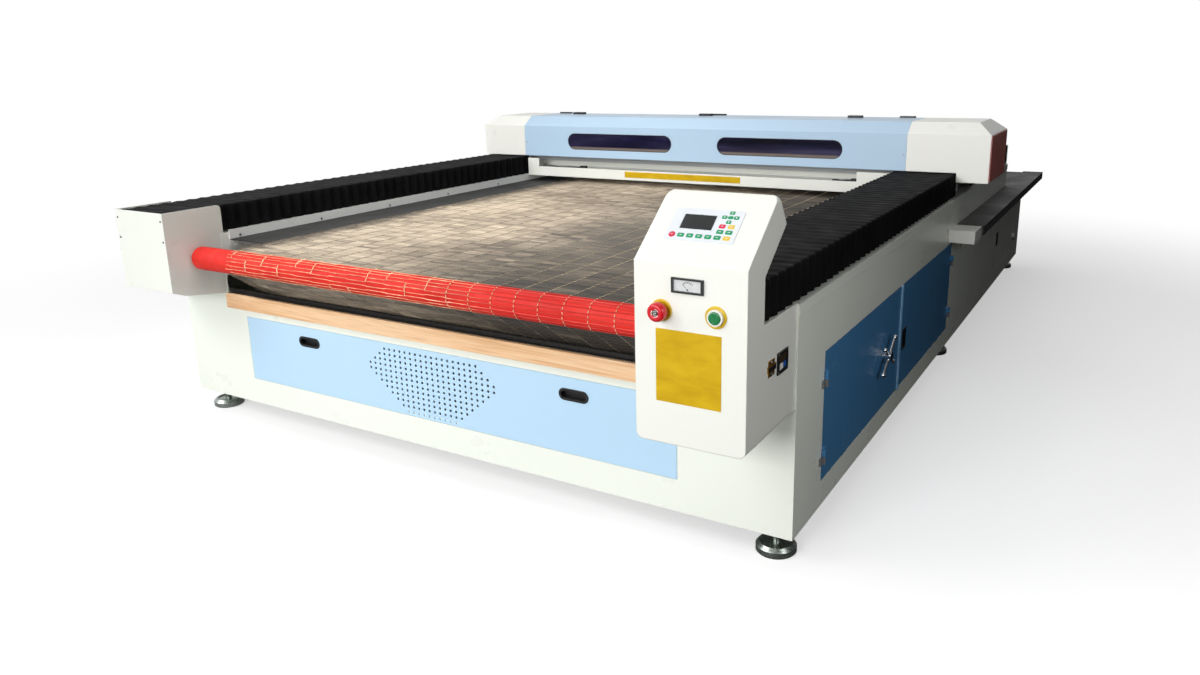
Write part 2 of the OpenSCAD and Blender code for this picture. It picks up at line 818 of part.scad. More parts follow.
module meter_window() {
  color([0.8, 0.9, 1, 0.4])
    block(meter_x - 30, meter_x + 30, -con_y - meter_d, -con_y - meter_d + 1.2,
          meter_z - 11.5, meter_z + 11.5);
}
module button_rings() {
  color("gold") {
    difference() {
      rod_y(-con_y - ring_t, -con_y, stop_x, stop_z, ring_r);
      rod_y(-con_y - 3, -con_y + eps, stop_x, stop_z, stop_shaft + run_fit);
    }
    difference() {
      rod_y(-con_y - ring_t, -con_y, start_x, start_z, ring_r);
      rod_y(-con_y - 3, -con_y + eps, start_x, start_z, start_r + 4);
    }
  }
}
module stop_button() {
  color("red") {
    rod_y(-con_y - 18, -con_y + 12, stop_x, stop_z, stop_shaft);
    translate([stop_x, -con_y - ring_t - stop_travel - 1, stop_z]) rotate([90, 0, 0])
      rotate_extrude() polygon([[0, 0], [stop_r - 5, 0], [stop_r, 5], [stop_r, 14],
        [stop_r - 2, stop_cap - 4], [stop_r - 6, stop_cap - 1], [0, stop_cap]]);
  }
}
module start_bezel() {
  color("white") difference() {
    union() {
      rod_y(-con_y - 8, -con_y, start_x, start_z, start_r + 3.9);
      rod_y(-con_y, -con_y + 20, start_x, start_z, start_r + 1.8);
    }
    rod_y(-con_y - 9, -con_y + 18, start_x, start_z, start_r + run_fit);
  }
}
module start_button() {
  color("green") rod_y(-con_y - 8 - start_travel, -con_y + 12, start_x, start_z, start_r);
}
module console_plate() {
  color("gold")
    block(con_x0 + 49, con_x0 + 195, -con_y - 0.8, -con_y, 410, 566);
}
// sockets on the console's right side
module socket_frame() {
  color("#202020") difference() {
    block(con_x1, con_x1 + 4, -118, -60, 445, 493);
    block(con_x1 + 2, con_x1 + 5, -111, -67, 452, 486);
  }
}
module data_port() {
  color("goldenrod") {
    block(con_x1, con_x1 + 3, -172, -128, 465, 479);
    for (z = [455, 481]) block(con_x1, con_x1 + 2, -165, -135, z, z + 8);
    block(con_x1, con_x1 + 1, -167, -133, 454, 490);
  }
}
module mains_gland() {
  color("#202020") difference() {
    union() {
      rod_y(cab_d, cab_d + 6, 300, 120, 18, $fn = 48);
      rod_y(cab_d, cab_d + gland_out, 300, 120, 12);
    }
    rod_y(cab_d + 8, cab_d + gland_out + eps, 300, 120, 6);
  }
}

// ---- gantry ----

// the housing's outline across its depth, down to z0 and shrunk by w
function housing_pts(z0) = [[gy0, z0], [gy1, z0], [gy1, gantry_top - bevel_z],
  [gy1 - bevel_y, gantry_top], [gy0 + bevel_y, gantry_top], [gy0, gantry_top - bevel_z]];
module housing_side(w, z0) {
  polygon(inset(housing_pts(z0 - w), w));
}
module gantry_cover() {
  color("lightblue") difference() {
    side_shape(cover_x0, cover_x1) housing_side(0, gantry_z);
    side_shape(cover_x0 - eps, cover_x1 + eps) housing_side(skin, gantry_z - eps);
    for (s = [-1, 1]) translate([cover_mid + s * slot_gap, 0, slot_z])
      front_shape(gy0 - eps, gy0 + skin + eps) stadium(slot_w, slot_h);
  }
}
module cover_windows() {
  color([0.1, 0.1, 0.16, 0.8]) for (s = [-1, 1])
    translate([cover_mid + s * slot_gap, 0, slot_z])
      front_shape(gy0 + skin, gy0 + skin + 2) stadium(slot_w + 24, slot_h + 16);
}
// an end cap's outline across its width: the outer end drops by d over a length lap
function cap_pts(x_in, x_out, d, lap, s) = [[x_in, gantry_z], [x_out - s * lap, gantry_z],
  [x_out - s * lap, gantry_z - d], [x_out, gantry_z - d], [x_out, gantry_top - bevel_z],
  [x_out - s * bevel_x, gantry_top], [x_in, gantry_top]];
module end_cap(x_in, x_out, d, lap) {
  s = x_out > x_in ? 1 : -1;
  a = min(x_in, x_out);
  b = max(x_in, x_out);
  difference() {
    intersection() {
      side_shape(a, b) housing_side(0, gantry_z - d);
      front_shape(gy0 - eps, gy1 + eps) polygon(cap_pts(x_in, x_out, d, lap, s));
    }
    intersection() {
      side_shape(a - eps, b + eps) housing_side(skin, gantry_z - d - eps);
      front_shape(gy0 - eps, gy1 + eps) {
        polygon(inset(cap_pts(x_in - s * (skin + eps), x_out, d, lap, s), s * skin));
        translate([a + (s < 0 ? skin : -eps), gantry_z - d - eps])
          square([b - a - skin + eps, d + eps + 2 * skin]);
      }
    }
  }
}
module left_end_cap() {
  color("ivory") end_cap(cover_x0, gx0, 1, 60);
}
module right_end_cap() {
  color("ivory") end_cap(cover_x1, gx1, cap_drop, gx1 - cab_w + 4);
}
module end_plate(x0, z0) {
  side_shape(x0, x0 + plate_t)
    polygon([[gy0 + 6, z0 + 4], [gy1 - 6, z0 + 4], [gy1 - 6, gantry_top - bevel_z - 3],
             [gy0 + 6, gantry_top - bevel_z - 3]]);
}
module end_plates() {
  color("indianred") {
    end_plate(gx1, gantry_z - cap_drop);
    end_plate(gx0 - plate_t, gantry_z);
  }
}
module gantry_tray() {
  color("white") {
    block(tray_x0, tray_x1, gy0, gy0 + skin, tray_z0, tray_z1);
    block(tray_x0, tray_x1, gy0, gy0 + 120, tray_z1 - 8, tray_z1 - 8 + skin);
    block(tray_x0, tray_x1, gy0 + 120 - skin, gy0 + 120, tray_z1 - 8, frame_z0);
    block(tray_x0, tray_x0 + 64, gy0, gy0 + skin, tray_z0, gantry_z - 12);
    block(tray_x1 - 130, tray_x1, gy0, gy0 + skin, tray_z0, gantry_z - 12);
    block(tray_x0, tray_x0 + skin, gy0, gy0 + 120, tray_z0, frame_z0);
    block(tray_x1 - skin, tray_x1, gy0, gy0 + 120, tray_z0, frame_z0);
  }
}
module tray_strip() {
  color("gold") block(cover_mid - 346, cover_mid - 346 + strip_w, gy0 - 1, gy0,
                      tray_z0 + 12, tray_z1 - 6);
}
// three handles towards the front of the lid and three hinges at its rear
module cover_catches() {
  color("#181818") for (i = [-1:1]) {
    translate([cover_mid - 58 + i * 682, gy0 + 243, gantry_top]) translate([-29, -14, 0])
      cube([58, 28, 9]);
    translate([cover_mid - 12 + i * 838, gy1 - bevel_y - 10, gantry_top])
      translate([-30, -12, 0]) cube([60, 24, 6]);
  }
}
module y_rails() {
  color("silver") for (x = [rail_x, rail_x2])
    block(x - rail_w / 2, x + rail_w / 2, 20, bed_d - 20, cab_h, cab_h + rail_h);
}
module carriages() {
  color("gray") for (x = [rail_x, rail_x2], y = [gy0 + 50, gy1 - 50 - car_l]) difference() {
    block(x - car_w / 2, x + car_w / 2, y, y + car_l, leg_z - car_h, leg_z);
    block(x - rail_w / 2 - 0.2, x + rail_w / 2 + 0.2, y - eps, y + car_l + eps,
          leg_z - car_h - eps, cab_h + rail_h + 0.2);
  }
}
module gantry_frame() {
  color("lightgray") {
    difference() {
      block(gx0 + 60, gx1 - 130, beam_y0, beam_y1, frame_z0, frame_z1);
      block(gx0 + 60 - eps, gx1 - 130 + eps, beam_y0 + 5, beam_y1 - 5, frame_z0 + 5,
            frame_z1 - 5);
    }
    // legs from the carriages up to the beam
    for (x = [rail_x, rail_x2])
      block(x - 40, x + 40, gy0 + leg_in, gy1 - leg_in, leg_z, frame_z0 + eps);
    // flanges that hold the ends of the bellows
    for (y = [gy0 + leg_in - plate_t, gy1 - leg_in]) {
      block(bel_left0, bel_left1, y, y + plate_t, leg_z - 10, bellows_top);
      block(bel_right0, bel_right1, y, y + plate_t, leg_z - 10, bellows_top);
    }
    // cradles of the laser tube
    for (x = [tube_x0 + 150, tube_x1 - 150]) difference() {
      block(x - 12, x + 12, beam_y1 - 40, gy1 - skin - 2, frame_z1 - eps, tube_z);
      rod_x(x - 13, x + 13, tube_y, tube_z, tube_r + soft_gap, $fn = 64);
    }
    // ribs that carry the housing
    for (x = [cover_x0 + 12, cover_x1 - 12])
      block(x - 4, x + 4, gy0 + skin, beam_y0 + eps, frame_z0 + 60, frame_z1);
    block(cover_x0 - 30, cover_x0 + 30, beam_y0 + 20, beam_y0 + 40, frame_z1 - eps,
          gantry_top - skin);
    block(cover_x1 - 30, cover_x1 + 30, beam_y0 + 20, beam_y0 + 40, frame_z1 - eps,
          gantry_top - skin);
  }
}
module x_rail() {
  color("silver")
    block(cover_x0 + 20, cover_x1 - 20, beam_y1, beam_y1 + xr_t, xr_z - 10, xr_z + 10);
}
module laser_tube() {
  color([0.85, 0.92, 1, 0.5])
    rod_x(tube_x0, tube_x1, tube_y, tube_z, tube_r, $fn = 64);
}
module laser_head() {
  color("#606468") {
    difference() {
      block(head_x - 40, head_x + 40, beam_y1 + 4, beam_y1 + 30, xr_z - 35, xr_z + 35);
      block(head_x - 41, head_x + 41, beam_y1 + 3, beam_y1 + xr_t + 0.2, xr_z - 10.2,
            xr_z + 10.2);
    }
    block(head_x - 25, head_x + 25, beam_y1 + 30, head_y + 15, xr_z - 45, xr_z + 30);
    translate([head_x, head_y, nozzle_z]) {
      cylinder(h = 30, r1 = 4, r2 = 14);
      translate([0, 0, 30]) cylinder(h = 60, r = 14);
    }
  }
}

// ---- bellows ----
// an even run of folds from a to b: the outline of the region below the crests, where
// the crests stand at height h, the valleys at h - d, and the far side at z0
function folds(a, b, h, d, z0) = let(n = round((b - a) / fold), p = (b - a) / n)
  concat([[a, z0]], [for (i = [0:2 * n]) [a + i * p / 2, i % 2 == 0 ? h - d : h]],
         [[b, z0]]);
module fold_solid(x0, x1, a, b, w, e) {
  xm = (x0 + x1) / 2;
  intersection() {
    side_shape(x0 - eps, x1 + eps) polygon(folds(a, b, bellows_top - w, fold_depth, bellows_z - e));
    translate([xm, 0, bellows_z - e - eps]) linear_extrude(200) rotate(90) {
      polygon(folds(a, b, xm - x0 - w, fold_depth, -eps));
      mirror([0, 1]) polygon(folds(a, b, x1 - xm - w, fold_depth, -eps));
    }
  }
}
module bellow(x0, x1, a, b) {
  difference() {
    fold_solid(x0, x1, a, b, 0, 0);
    fold_solid(x0, x1, a, b, bel_t, eps);
  }
}
module bellows_front() {
  color("#202020") {
    bellow(bel_left0, bel_left1, box_y + sheet, bel_end);
    bellow(bel_right0, bel_right1, -con_back, bel_end);
  }
}
module bellows_rear() {
  color("#202020") {
    bellow(bel_left0, bel_left1, gy1 - leg_in + plate_t, bed_d - sheet);
    bellow(bel_right0, bel_right1, gy1 - leg_in + plate_t, bed_d - sheet);
  }
}

module rear_door_pull() {
  door_pull(pull2_y);
}
module service_door_pull() {
  door_pull(pull3_y);
}

place() {
  cabinet();
  front_panel();
  panel_grips();
  wood_strip();
  brush_strip();
  front_screws();
  left_end_box();
  trim_rails();
  rear_table();
  side_ledge();
  ledge_bracket();
  levelling_feet();
  door_post();
  front_door();
  rear_door();
  service_door();
  door_hinges();
  cross_handle();
  rear_door_pull();
  service_door_pull();
  front_roller();
  front_shaft();
  rear_roller();
  rear_shaft();
  roller_bearings();
  conveyor_motor();
  mesh_belt();
  bed_slats();
  bed_side_plates();
  console_housing();
  control_panel();
  display();
  keypad();
  meter_case();
  meter_needle();
  meter_window();
  button_rings();
  stop_button();
  start_bezel();
  start_button();
  console_plate();
  socket_frame();
  data_port();
  mains_gland();
  y_rails();
  gantry_frame();
  carriages();
  x_rail();
  gantry_cover();
  left_end_cap();
  right_end_cap();
  end_plates();
  cover_windows();
  gantry_tray();
  tray_strip();
  cover_catches();
  laser_tube();
  laser_head();
  bellows_front();
  bellows_rear();
}
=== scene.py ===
import bisect, bpy, bmesh, math, random
from math import sin, cos, pi, radians
from mathutils import Vector, Matrix


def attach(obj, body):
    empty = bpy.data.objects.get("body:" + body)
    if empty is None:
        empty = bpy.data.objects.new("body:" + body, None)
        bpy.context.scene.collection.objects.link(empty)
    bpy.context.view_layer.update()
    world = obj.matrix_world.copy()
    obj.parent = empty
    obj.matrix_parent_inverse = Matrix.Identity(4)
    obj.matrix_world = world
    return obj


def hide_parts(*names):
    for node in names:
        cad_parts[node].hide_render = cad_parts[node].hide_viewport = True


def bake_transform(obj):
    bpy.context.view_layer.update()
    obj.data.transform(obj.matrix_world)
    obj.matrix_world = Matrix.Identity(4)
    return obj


# Finished look of the fabric laser cutting machine: a material for each CAD piece, the small
# shapes that replace or add to the CAD pieces, then the floor, the lights and the camera.
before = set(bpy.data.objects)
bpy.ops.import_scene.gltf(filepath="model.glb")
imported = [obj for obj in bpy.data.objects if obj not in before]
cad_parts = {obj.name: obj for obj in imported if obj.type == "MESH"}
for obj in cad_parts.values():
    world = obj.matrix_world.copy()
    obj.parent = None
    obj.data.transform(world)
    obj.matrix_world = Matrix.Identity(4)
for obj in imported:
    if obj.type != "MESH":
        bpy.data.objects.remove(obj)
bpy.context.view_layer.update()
random.seed(7)

# The shapes below are in machine millimetres: x from the cabinet's left side, y from
# its front face, z from its underside. V() turns such a point into the row frame.
OX, OY, OZ = 1144.5, 1656.5, -70.0

# the mesh belt's edges and its chains: place of the first one, distance and number
BX0, BX1 = 400.0, 1930.0
CHAIN_X, CHAIN_STEP, CHAINS = 431.0, 72.3, 21


def V(x, y, z):
    return Vector(((x - OX) / 1000, (y - OY) / 1000, (z - OZ) / 1000))


def srgb(r, g, b):
    f = lambda c: c / 12.92 if c <= 0.04045 else ((c + 0.055) / 1.055) ** 2.4
    return (f(r / 255), f(g / 255), f(b / 255), 1.0)


# ---------------------------------------------------------------- node trees
class Nodes:
    """A small builder round a node tree."""

    def __init__(self, tree):
        self.t = tree

    def n(self, kind, **kw):
        node = self.t.nodes.new(kind)
        for k, v in kw.items():
            setattr(node, k, v)
        return node

    def put(self, socket, v):
        """Sets the socket to a constant, or links another one to it."""
        if isinstance(v, (int, float, tuple)):
            socket.default_value = v
        else:
            self.t.links.new(v, socket)

    def add(self, kind, *values, out=0, **kw):
        """Adds a node fed with the values, and returns one of its outputs."""
        node = self.n(kind, **kw)
        for socket, v in zip(node.inputs, values):
            self.put(socket, v)
        return node.outputs[out]

    def math(self, op, a, b=None):
        node = self.n("ShaderNodeMath", operation=op)
        self.put(node.inputs[0], a)
        if b is not None:
            self.put(node.inputs[1], b)
        return node.outputs[0]

    def remap(self, fac, lo, hi, a=0.3, b=0.7, kind="LINEAR"):
        """Takes the range a..b to lo..hi."""
        node = self.n("ShaderNodeMapRange", interpolation_type=kind)
        self.put(node.inputs["Value"], fac)
        for k, v in (("From Min", a), ("From Max", b), ("To Min", lo), ("To Max", hi)):
            node.inputs[k].default_value = v
        return node.outputs["Result"]

    def step(self, fac, a, b, lo=0.0, hi=1.0):
        """Goes smoothly from lo at a to hi at b."""
        return self.remap(fac, lo, hi, a, b, "SMOOTHSTEP")

    def xyz(self, vector):
        node = self.n("ShaderNodeSeparateXYZ")
        self.put(node.inputs[0], vector)
        return tuple(node.outputs)


class Mat(Nodes):
    """A Principled material, patterned by object coordinates."""

    def __init__(self, name):
        self.m = bpy.data.materials.new(name)
        self.m.use_nodes = True
        super().__init__(self.m.node_tree)
        self.b = self.t.nodes["Principled BSDF"]
        self.at = self.n("ShaderNodeTexCoord").outputs["Object"]

    def coords(self, scale=(1, 1, 1)):
        node = self.n("ShaderNodeMapping")
        node.inputs["Scale"].default_value = scale
        self.put(node.inputs["Vector"], self.at)
        return node.outputs["Vector"]

    def noise_at(self, vector, scale, detail, rough=0.5, dist=0.0):
        node = self.n("ShaderNodeTexNoise")
        for k, v in (("Scale", scale), ("Detail", detail), ("Roughness", rough),
                     ("Distortion", dist), ("Vector", vector)):
            self.put(node.inputs[k], v)
        return node.outputs["Fac"]

    def noise(self, scale, detail=4, stretch=(1, 1, 1), rough=0.5, dist=0.0):
        return self.noise_at(self.coords(stretch), scale, detail, rough, dist)

    def ramp(self, fac, stops):
        node = self.n("ShaderNodeValToRGB")
        e = node.color_ramp.elements
        while len(e) < len(stops):
            e.new(0.5)
        for el, (p, c) in zip(e, stops):
            el.position = p
            el.color = c
        self.put(node.inputs["Fac"], fac)
        return node.outputs["Color"]

    def mix(self, fac, a, b):
        node = self.n("ShaderNodeMix", data_type="RGBA")
        for socket, v in ((0, fac), (6, a), (7, b)):
            self.put(node.inputs[socket], v)
        return node.outputs[2]

    def bump(self, height, strength, dist, prev=None):
        node = self.n("ShaderNodeBump")
        node.inputs["Strength"].default_value = strength
        node.inputs["Distance"].default_value = dist
        self.put(node.inputs["Height"], height)
        if prev is not None:
            self.put(node.inputs["Normal"], prev)
        return node.outputs["Normal"]

    def edge(self, radius):
        node = self.n("ShaderNodeBevel", samples=4)
        node.inputs["Radius"].default_value = radius
        return node.outputs["Normal"]

    def out(self, **kw):
        for k, v in kw.items():
            self.put(self.b.inputs[k.replace("_", " ")], v)
        return self.m


# ---------------------------------------------------------------- materials
def shade(col, f):
    return tuple(c * f for c in col[:3]) + (1.0,)


def paint(name, col, rough=0.25, dirt=0.06, edge=0.0012, coat=0.3, stain=None):
    """Powder-coated or sprayed sheet: fine orange peel, faint tone drift, uneven gloss."""
    k = Mat(name)
    stain = stain or tuple(c * w for c, w in zip(col[:3], (0.90, 0.88, 0.80))) + (1.0,)
    c = k.mix(k.remap(k.noise(0.9, 3), 0, 1), col, shade(col, 1 - dirt * 1.5))
    specks = k.remap(k.noise(260, 4, rough=0.7), 0, 0.5, 0.6, 0.85)
    c = k.mix(k.math("MULTIPLY", specks, dirt), c, stain)
    nrm = k.bump(k.noise(620, 2), 0.015, 0.0006, k.edge(edge))
    gloss = k.remap(k.noise(5, 4), rough * 0.85, rough * 1.2)
    return k.out(Base_Color=c, Roughness=gloss, Normal=nrm, Coat_Weight=coat, Coat_Roughness=0.2)


def plastic(name, col, rough=0.35, grain=420, bump=0.08, var=0.1, edge=0.0006):
    k = Mat(name)
    c = k.mix(k.remap(k.noise(22, 5), 0, 1), col, shade(col, 1 - var * 2))
    nrm = k.bump(k.noise(grain, 3), bump, 0.0004, k.edge(edge))
    gloss = k.remap(k.noise(60, 4), rough * 0.8, rough * 1.25)
    return k.out(Base_Color=c, Roughness=gloss, Normal=nrm)


def metal(name, col, rough=0.25, brush=(1, 1, 1), bump=0.05, scale=240, var=0.12):
    """Bare or plated metal; brush stretches the grain along one axis."""
    k = Mat(name)
    line = k.noise(scale, 3, stretch=brush)
    c = k.mix(k.remap(k.noise(14, 5), 0, 1), col, shade(col, 1 - var * 2))
    nrm = k.bump(line, bump, 0.0004, k.edge(0.0006))
    gloss = k.remap(line, rough * 0.7, rough * 1.4)
    return k.out(Base_Color=c, Metallic=1.0, Roughness=gloss, Normal=nrm)


white = paint("white_paint", srgb(240, 244, 234), 0.3, 0.02, coat=0.1)
end_white = paint("end_box_white", srgb(232, 235, 226), 0.3, 0.02, coat=0.1)
pad_steel = metal("pad_steel", srgb(176, 184, 178), 0.3, bump=0.04)
white_con = paint("console_white", srgb(236, 237, 229), 0.32, 0.012, edge=0.004, coat=0.1)
cap_white = paint("cap_white", srgb(245, 245, 238), 0.32, 0.02, edge=0.003, coat=0.1)
blue = paint("panel_blue", srgb(186, 219, 243), 0.34, 0.015, edge=0.0008, coat=0.1)
cover_blue = paint("cover_blue", srgb(182, 209, 232), 0.34, 0.015, edge=0.003, coat=0.1)
door_blue = paint("door_blue", srgb(74, 134, 184), 0.24, 0.04, edge=0.0015, coat=0.0)
post_blue = paint("post_blue", srgb(120, 172, 214), 0.3, 0.03, coat=0.0)
side_red = paint("side_red", srgb(226, 132, 124), 0.34, 0.07, edge=0.001)
black_paint = paint("black_paint", srgb(26, 26, 27), 0.3, 0.2, edge=0.001, stain=srgb(70, 68, 62))
matt_black = paint("matt_black", srgb(30, 29, 28), 0.62, 0.2, edge=0.001, coat=0.0,
                   stain=srgb(80, 76, 70))
grey_paint = paint("grey_paint", srgb(120, 122, 124), 0.4, 0.08)
frame_grey = paint("frame_grey", srgb(176, 178, 180), 0.35, 0.06)
rail_white = paint("rail_white", srgb(244, 246, 242), 0.32, 0.02, coat=0.1)

black_plastic = plastic("black_plastic", srgb(22, 22, 23), 0.38)
pad_plastic = plastic("pad_film", srgb(224, 228, 233), 0.34, 700, 0.05, 0.02)
white_plastic = plastic("white_plastic", srgb(236, 236, 230), 0.28, 300, 0.04, 0.03)
yellow = plastic("yellow_plastic", srgb(216, 180, 22), 0.34, 260, 0.08, 0.05)
red_plastic = plastic("red_plastic", srgb(206, 22, 36), 0.24, 300, 0.04, 0.05)
green_plastic = plastic("green_plastic", srgb(8, 120, 62), 0.25, 300, 0.04, 0.05)
blue_plastic = plastic("port_blue", srgb(40, 96, 180), 0.3)
key_green = plastic("key_green", srgb(20, 150, 98), 0.34, 500, 0.03, 0.05, 0.0003)
key_red = plastic("key_red", srgb(214, 34, 74), 0.34, 500, 0.03, 0.05, 0.0003)
key_yellow = plastic("key_yellow", srgb(232, 196, 60), 0.34, 500, 0.03, 0.05, 0.0003)
key_mark = plastic("key_mark", srgb(236, 242, 238), 0.4, 500, 0.03, 0.02, 0.0002)
brass = metal("brass", srgb(206, 160, 80), 0.3)
zinc = metal("zinc", srgb(196, 198, 200), 0.32)
screw_zinc = metal("screw_zinc", srgb(112, 114, 116), 0.42)
steel_x = metal("ground_steel", srgb(205, 207, 210), 0.22, (0.05, 1, 1), scale=500)
chrome = metal("chrome", srgb(226, 228, 230), 0.08, bump=0.02, var=0.04)
alu = metal("aluminium", srgb(188, 190, 192), 0.34, (0.04, 1, 1), scale=420)


def sticker():
    """Bare yellow film: slight waves, smudged gloss, pale scuffs."""
    k = Mat("yellow_film")
    band = k.noise(16, 4, stretch=(1.0, 1, 2.4), dist=0.3)
    c = k.ramp(band, [(0.25, srgb(188, 150, 6)), (0.5, srgb(202, 164, 8)),
                      (0.75, srgb(212, 176, 16))])
    c = k.mix(k.remap(k.noise(220, 4), 0, 0.2, 0.6, 0.8), c, srgb(168, 136, 14))
    nrm = k.bump(k.noise(24, 3, stretch=(1, 1, 2)), 0.1, 0.001)
    return k.out(Base_Color=c, Roughness=k.remap(band, 0.28, 0.5), Normal=nrm,
                 Specular_IOR_Level=0.25)


def beech():
    """Oiled beech, its grain along the strip."""
    k = Mat("beech_strip")
    grain = k.noise(9, 8, stretch=(0.35, 3, 9), dist=0.9)
    fine = k.noise(240, 4, stretch=(0.03, 1, 1))
    c = k.ramp(grain, [(0.28, srgb(214, 164, 116)), (0.45, srgb(233, 190, 145)),
                       (0.6, srgb(240, 204, 164)), (0.78, srgb(222, 174, 126))])
    c = k.mix(k.remap(fine, 0, 0.35, 0.45, 0.75), c, srgb(186, 134, 88))
    nrm = k.bump(fine, 0.18, 0.0006, k.edge(0.001))
    return k.out(Base_Color=c, Roughness=k.remap(grain, 0.42, 0.6), Normal=nrm)


def rubber_red():
    """Silicone sleeve of the rollers, with dust in its grain."""
    k = Mat("roller_red")
    c = k.ramp(k.noise(16, 6, stretch=(0.4, 1, 1)),
               [(0.3, srgb(196, 26, 20)), (0.5, srgb(212, 36, 28)), (0.75, srgb(220, 48, 36))])
    c = k.mix(k.remap(k.noise(300, 3), 0, 0.08, 0.55, 0.75), c, srgb(230, 120, 96))
    nrm = k.bump(k.noise(520, 3), 0.1, 0.0005)
    return k.out(Base_Color=c, Roughness=k.remap(k.noise(30, 4), 0.5, 0.68), Normal=nrm,
                 Specular_IOR_Level=0.3)


def bed_cloth():
    """What shows through the mesh: plank-like cells between the chains, streaked across."""
    k = Mat("bed_surface")
    x, y, z = k.xyz(k.at)
    u = k.math("MULTIPLY", k.math("ADD", x, (OX - CHAIN_X) / 1000), 1000 / CHAIN_STEP)
    cell = k.math("FLOOR", u)
    from_middle = k.math("ABSOLUTE", k.math("SUBTRACT", k.math("FRACT", u), 0.5))

    def strands(freq, along, seed):
        """Stripes along the cross wires, stepped at each chain."""
        v = k.n("ShaderNodeCombineXYZ")
        shift = k.math("MULTIPLY", cell, 3.71)
        k.put(v.inputs[0], k.math("ADD", shift, k.math("MULTIPLY", x, along)))
        k.put(v.inputs[1], k.math("MULTIPLY", y, freq))
        k.put(v.inputs[2], seed)
        return k.noise_at(v.outputs[0], 1.0, 5, 0.6)

    st = k.math("ADD", k.math("MULTIPLY", strands(26, 2.4, 0.0), 0.55),
                k.math("MULTIPLY", strands(95, 5.0, 4.0), 0.45))
    wide = k.noise(1.6, 4, stretch=(0.8, 1.2, 1))
    f = k.math("ADD", k.math("MULTIPLY", k.math("SUBTRACT", st, 0.5), 1.4),
               k.math("MULTIPLY", k.math("SUBTRACT", wide, 0.5), 0.75))
    f = k.math("ADD", f, 0.475)
    # painted reflection and shade: the bed is paler on the left, where it mirrors a bright side,
    # and darker on the right
    across = k.math("ADD", x, k.math("MULTIPLY", y, -0.10))
    f = k.math("ADD", f, k.step(across, -0.25, 0.62, 0.09, -0.35))
    # painted shade: the slack run below the roller and the strip along the left edge are darkened
    f = k.math("SUBTRACT", f, k.step(z, 0.57, 0.60, 0.12, 0.0))
    f = k.math("SUBTRACT", f, k.step(x, -0.74, -0.64, 0.3, 0.0))
    # painted shadow: a dark line under each chain
    f = k.math("SUBTRACT", f, k.math("MULTIPLY", k.math("GREATER_THAN", from_middle, 0.455), 0.07))
    c = k.ramp(f, [(0.08, srgb(46, 41, 34)), (0.3, srgb(98, 89, 76)), (0.46, srgb(146, 133, 115)),
                   (0.6, srgb(184, 170, 149)), (0.84, srgb(222, 209, 188))])
    fine = k.noise(420, 4, stretch=(1, 0.5, 1))
    c = k.mix(k.remap(fine, 0, 0.3, 0.5, 0.72), c, srgb(64, 58, 52))
    nrm = k.bump(fine, 0.25, 0.0008, k.bump(st, 0.3, 0.0015))
    return k.out(Base_Color=c, Roughness=k.remap(st, 0.34, 0.6), Normal=nrm, Metallic=0.1)


def mesh_wire(name, tones, painted_light=None):
    """Plated wire; the last argument, when given, paints highlight and shade along the belt by
    changing its colour.
    """
    k = Mat(name)
    c = k.ramp(k.noise(40, 5), [(p, srgb(*t)) for p, t in zip((0.3, 0.5, 0.75), tones)])
    if painted_light:
        c = painted_light(k, c)
    return k.out(Base_Color=c, Metallic=0.25, Roughness=k.remap(k.noise(90, 3), 0.3, 0.5),
                 Normal=k.bump(k.noise(700, 2), 0.15, 0.0003))


def wire_glint_left(k, c):
    """Painted highlight and shade: the wires stay pale on the left of the roller and are painted
    the red of its sleeve on the right.
    """
    return k.mix(k.step(k.xyz(k.at)[0], 0.12, 0.34), c, srgb(196, 44, 34))


def bright_right(k, c):
    """Painted highlight: the links are bright on the right of the flat run, and painted dull
    elsewhere.
    """
    x, y, z = k.xyz(k.at)
    right = k.step(k.math("ADD", x, k.math("MULTIPLY", k.noise(3, 3), 0.3)), 0.2, 0.62)
    flat = k.math("GREATER_THAN", z, 0.585)
    dull = k.ramp(k.noise(30, 5), [(0.35, srgb(118, 108, 94)), (0.55, srgb(150, 138, 120)),
                                   (0.72, srgb(206, 192, 166))])
    return k.mix(k.math("MULTIPLY", right, flat), dull, c)


def bellows_cloth():
    """Coated black cloth: fine weave, paler rubbed crests, dull sheen."""
    k = Mat("bellows_cloth")

    def threads(axis):
        w = k.n("ShaderNodeTexWave", wave_type="BANDS", bands_direction=axis)
        w.inputs["Scale"].default_value = 420
        k.put(w.inputs["Vector"], k.coords())
        return w.outputs["Fac"]

    weave = k.math("MULTIPLY", threads("X"), threads("Z"))
    c = k.ramp(k.noise(11, 6), [(0.3, srgb(9, 9, 10)), (0.6, srgb(15, 15, 16)),
                                (0.85, srgb(23, 23, 24))])
    c = k.mix(k.remap(k.noise(90, 5), 0, 0.25, 0.62, 0.8), c, srgb(38, 37, 36))
    nrm = k.bump(weave, 0.12, 0.0003, k.bump(k.noise(24, 4), 0.25, 0.0015))
    return k.out(Base_Color=c, Roughness=k.remap(k.noise(20, 4), 0.7, 0.88), Normal=nrm,
                 Specular_IOR_Level=0.1)


def bristles():
    k = Mat("bristles")
    hair = (1, 1, 0.05)
    c = k.ramp(k.noise(300, 3, stretch=hair), [(0.3, srgb(10, 10, 10)), (0.7, srgb(38, 36, 34))])
    return k.out(Base_Color=c, Roughness=k.remap(k.noise(80, 3), 0.5, 0.7),
                 Normal=k.bump(k.noise(500, 2, stretch=hair), 0.4, 0.0008))


def glassy(name, col, rough=0.05, alpha=1.0):
    k = Mat(name)
    c = k.mix(k.remap(k.noise(6, 3), 0, 1), col, shade(col, 0.6))
    gloss = k.remap(k.noise(18, 4), rough * 0.6, rough * 1.6)
    return k.out(Base_Color=c, Roughness=gloss, Alpha=alpha, IOR=1.5)


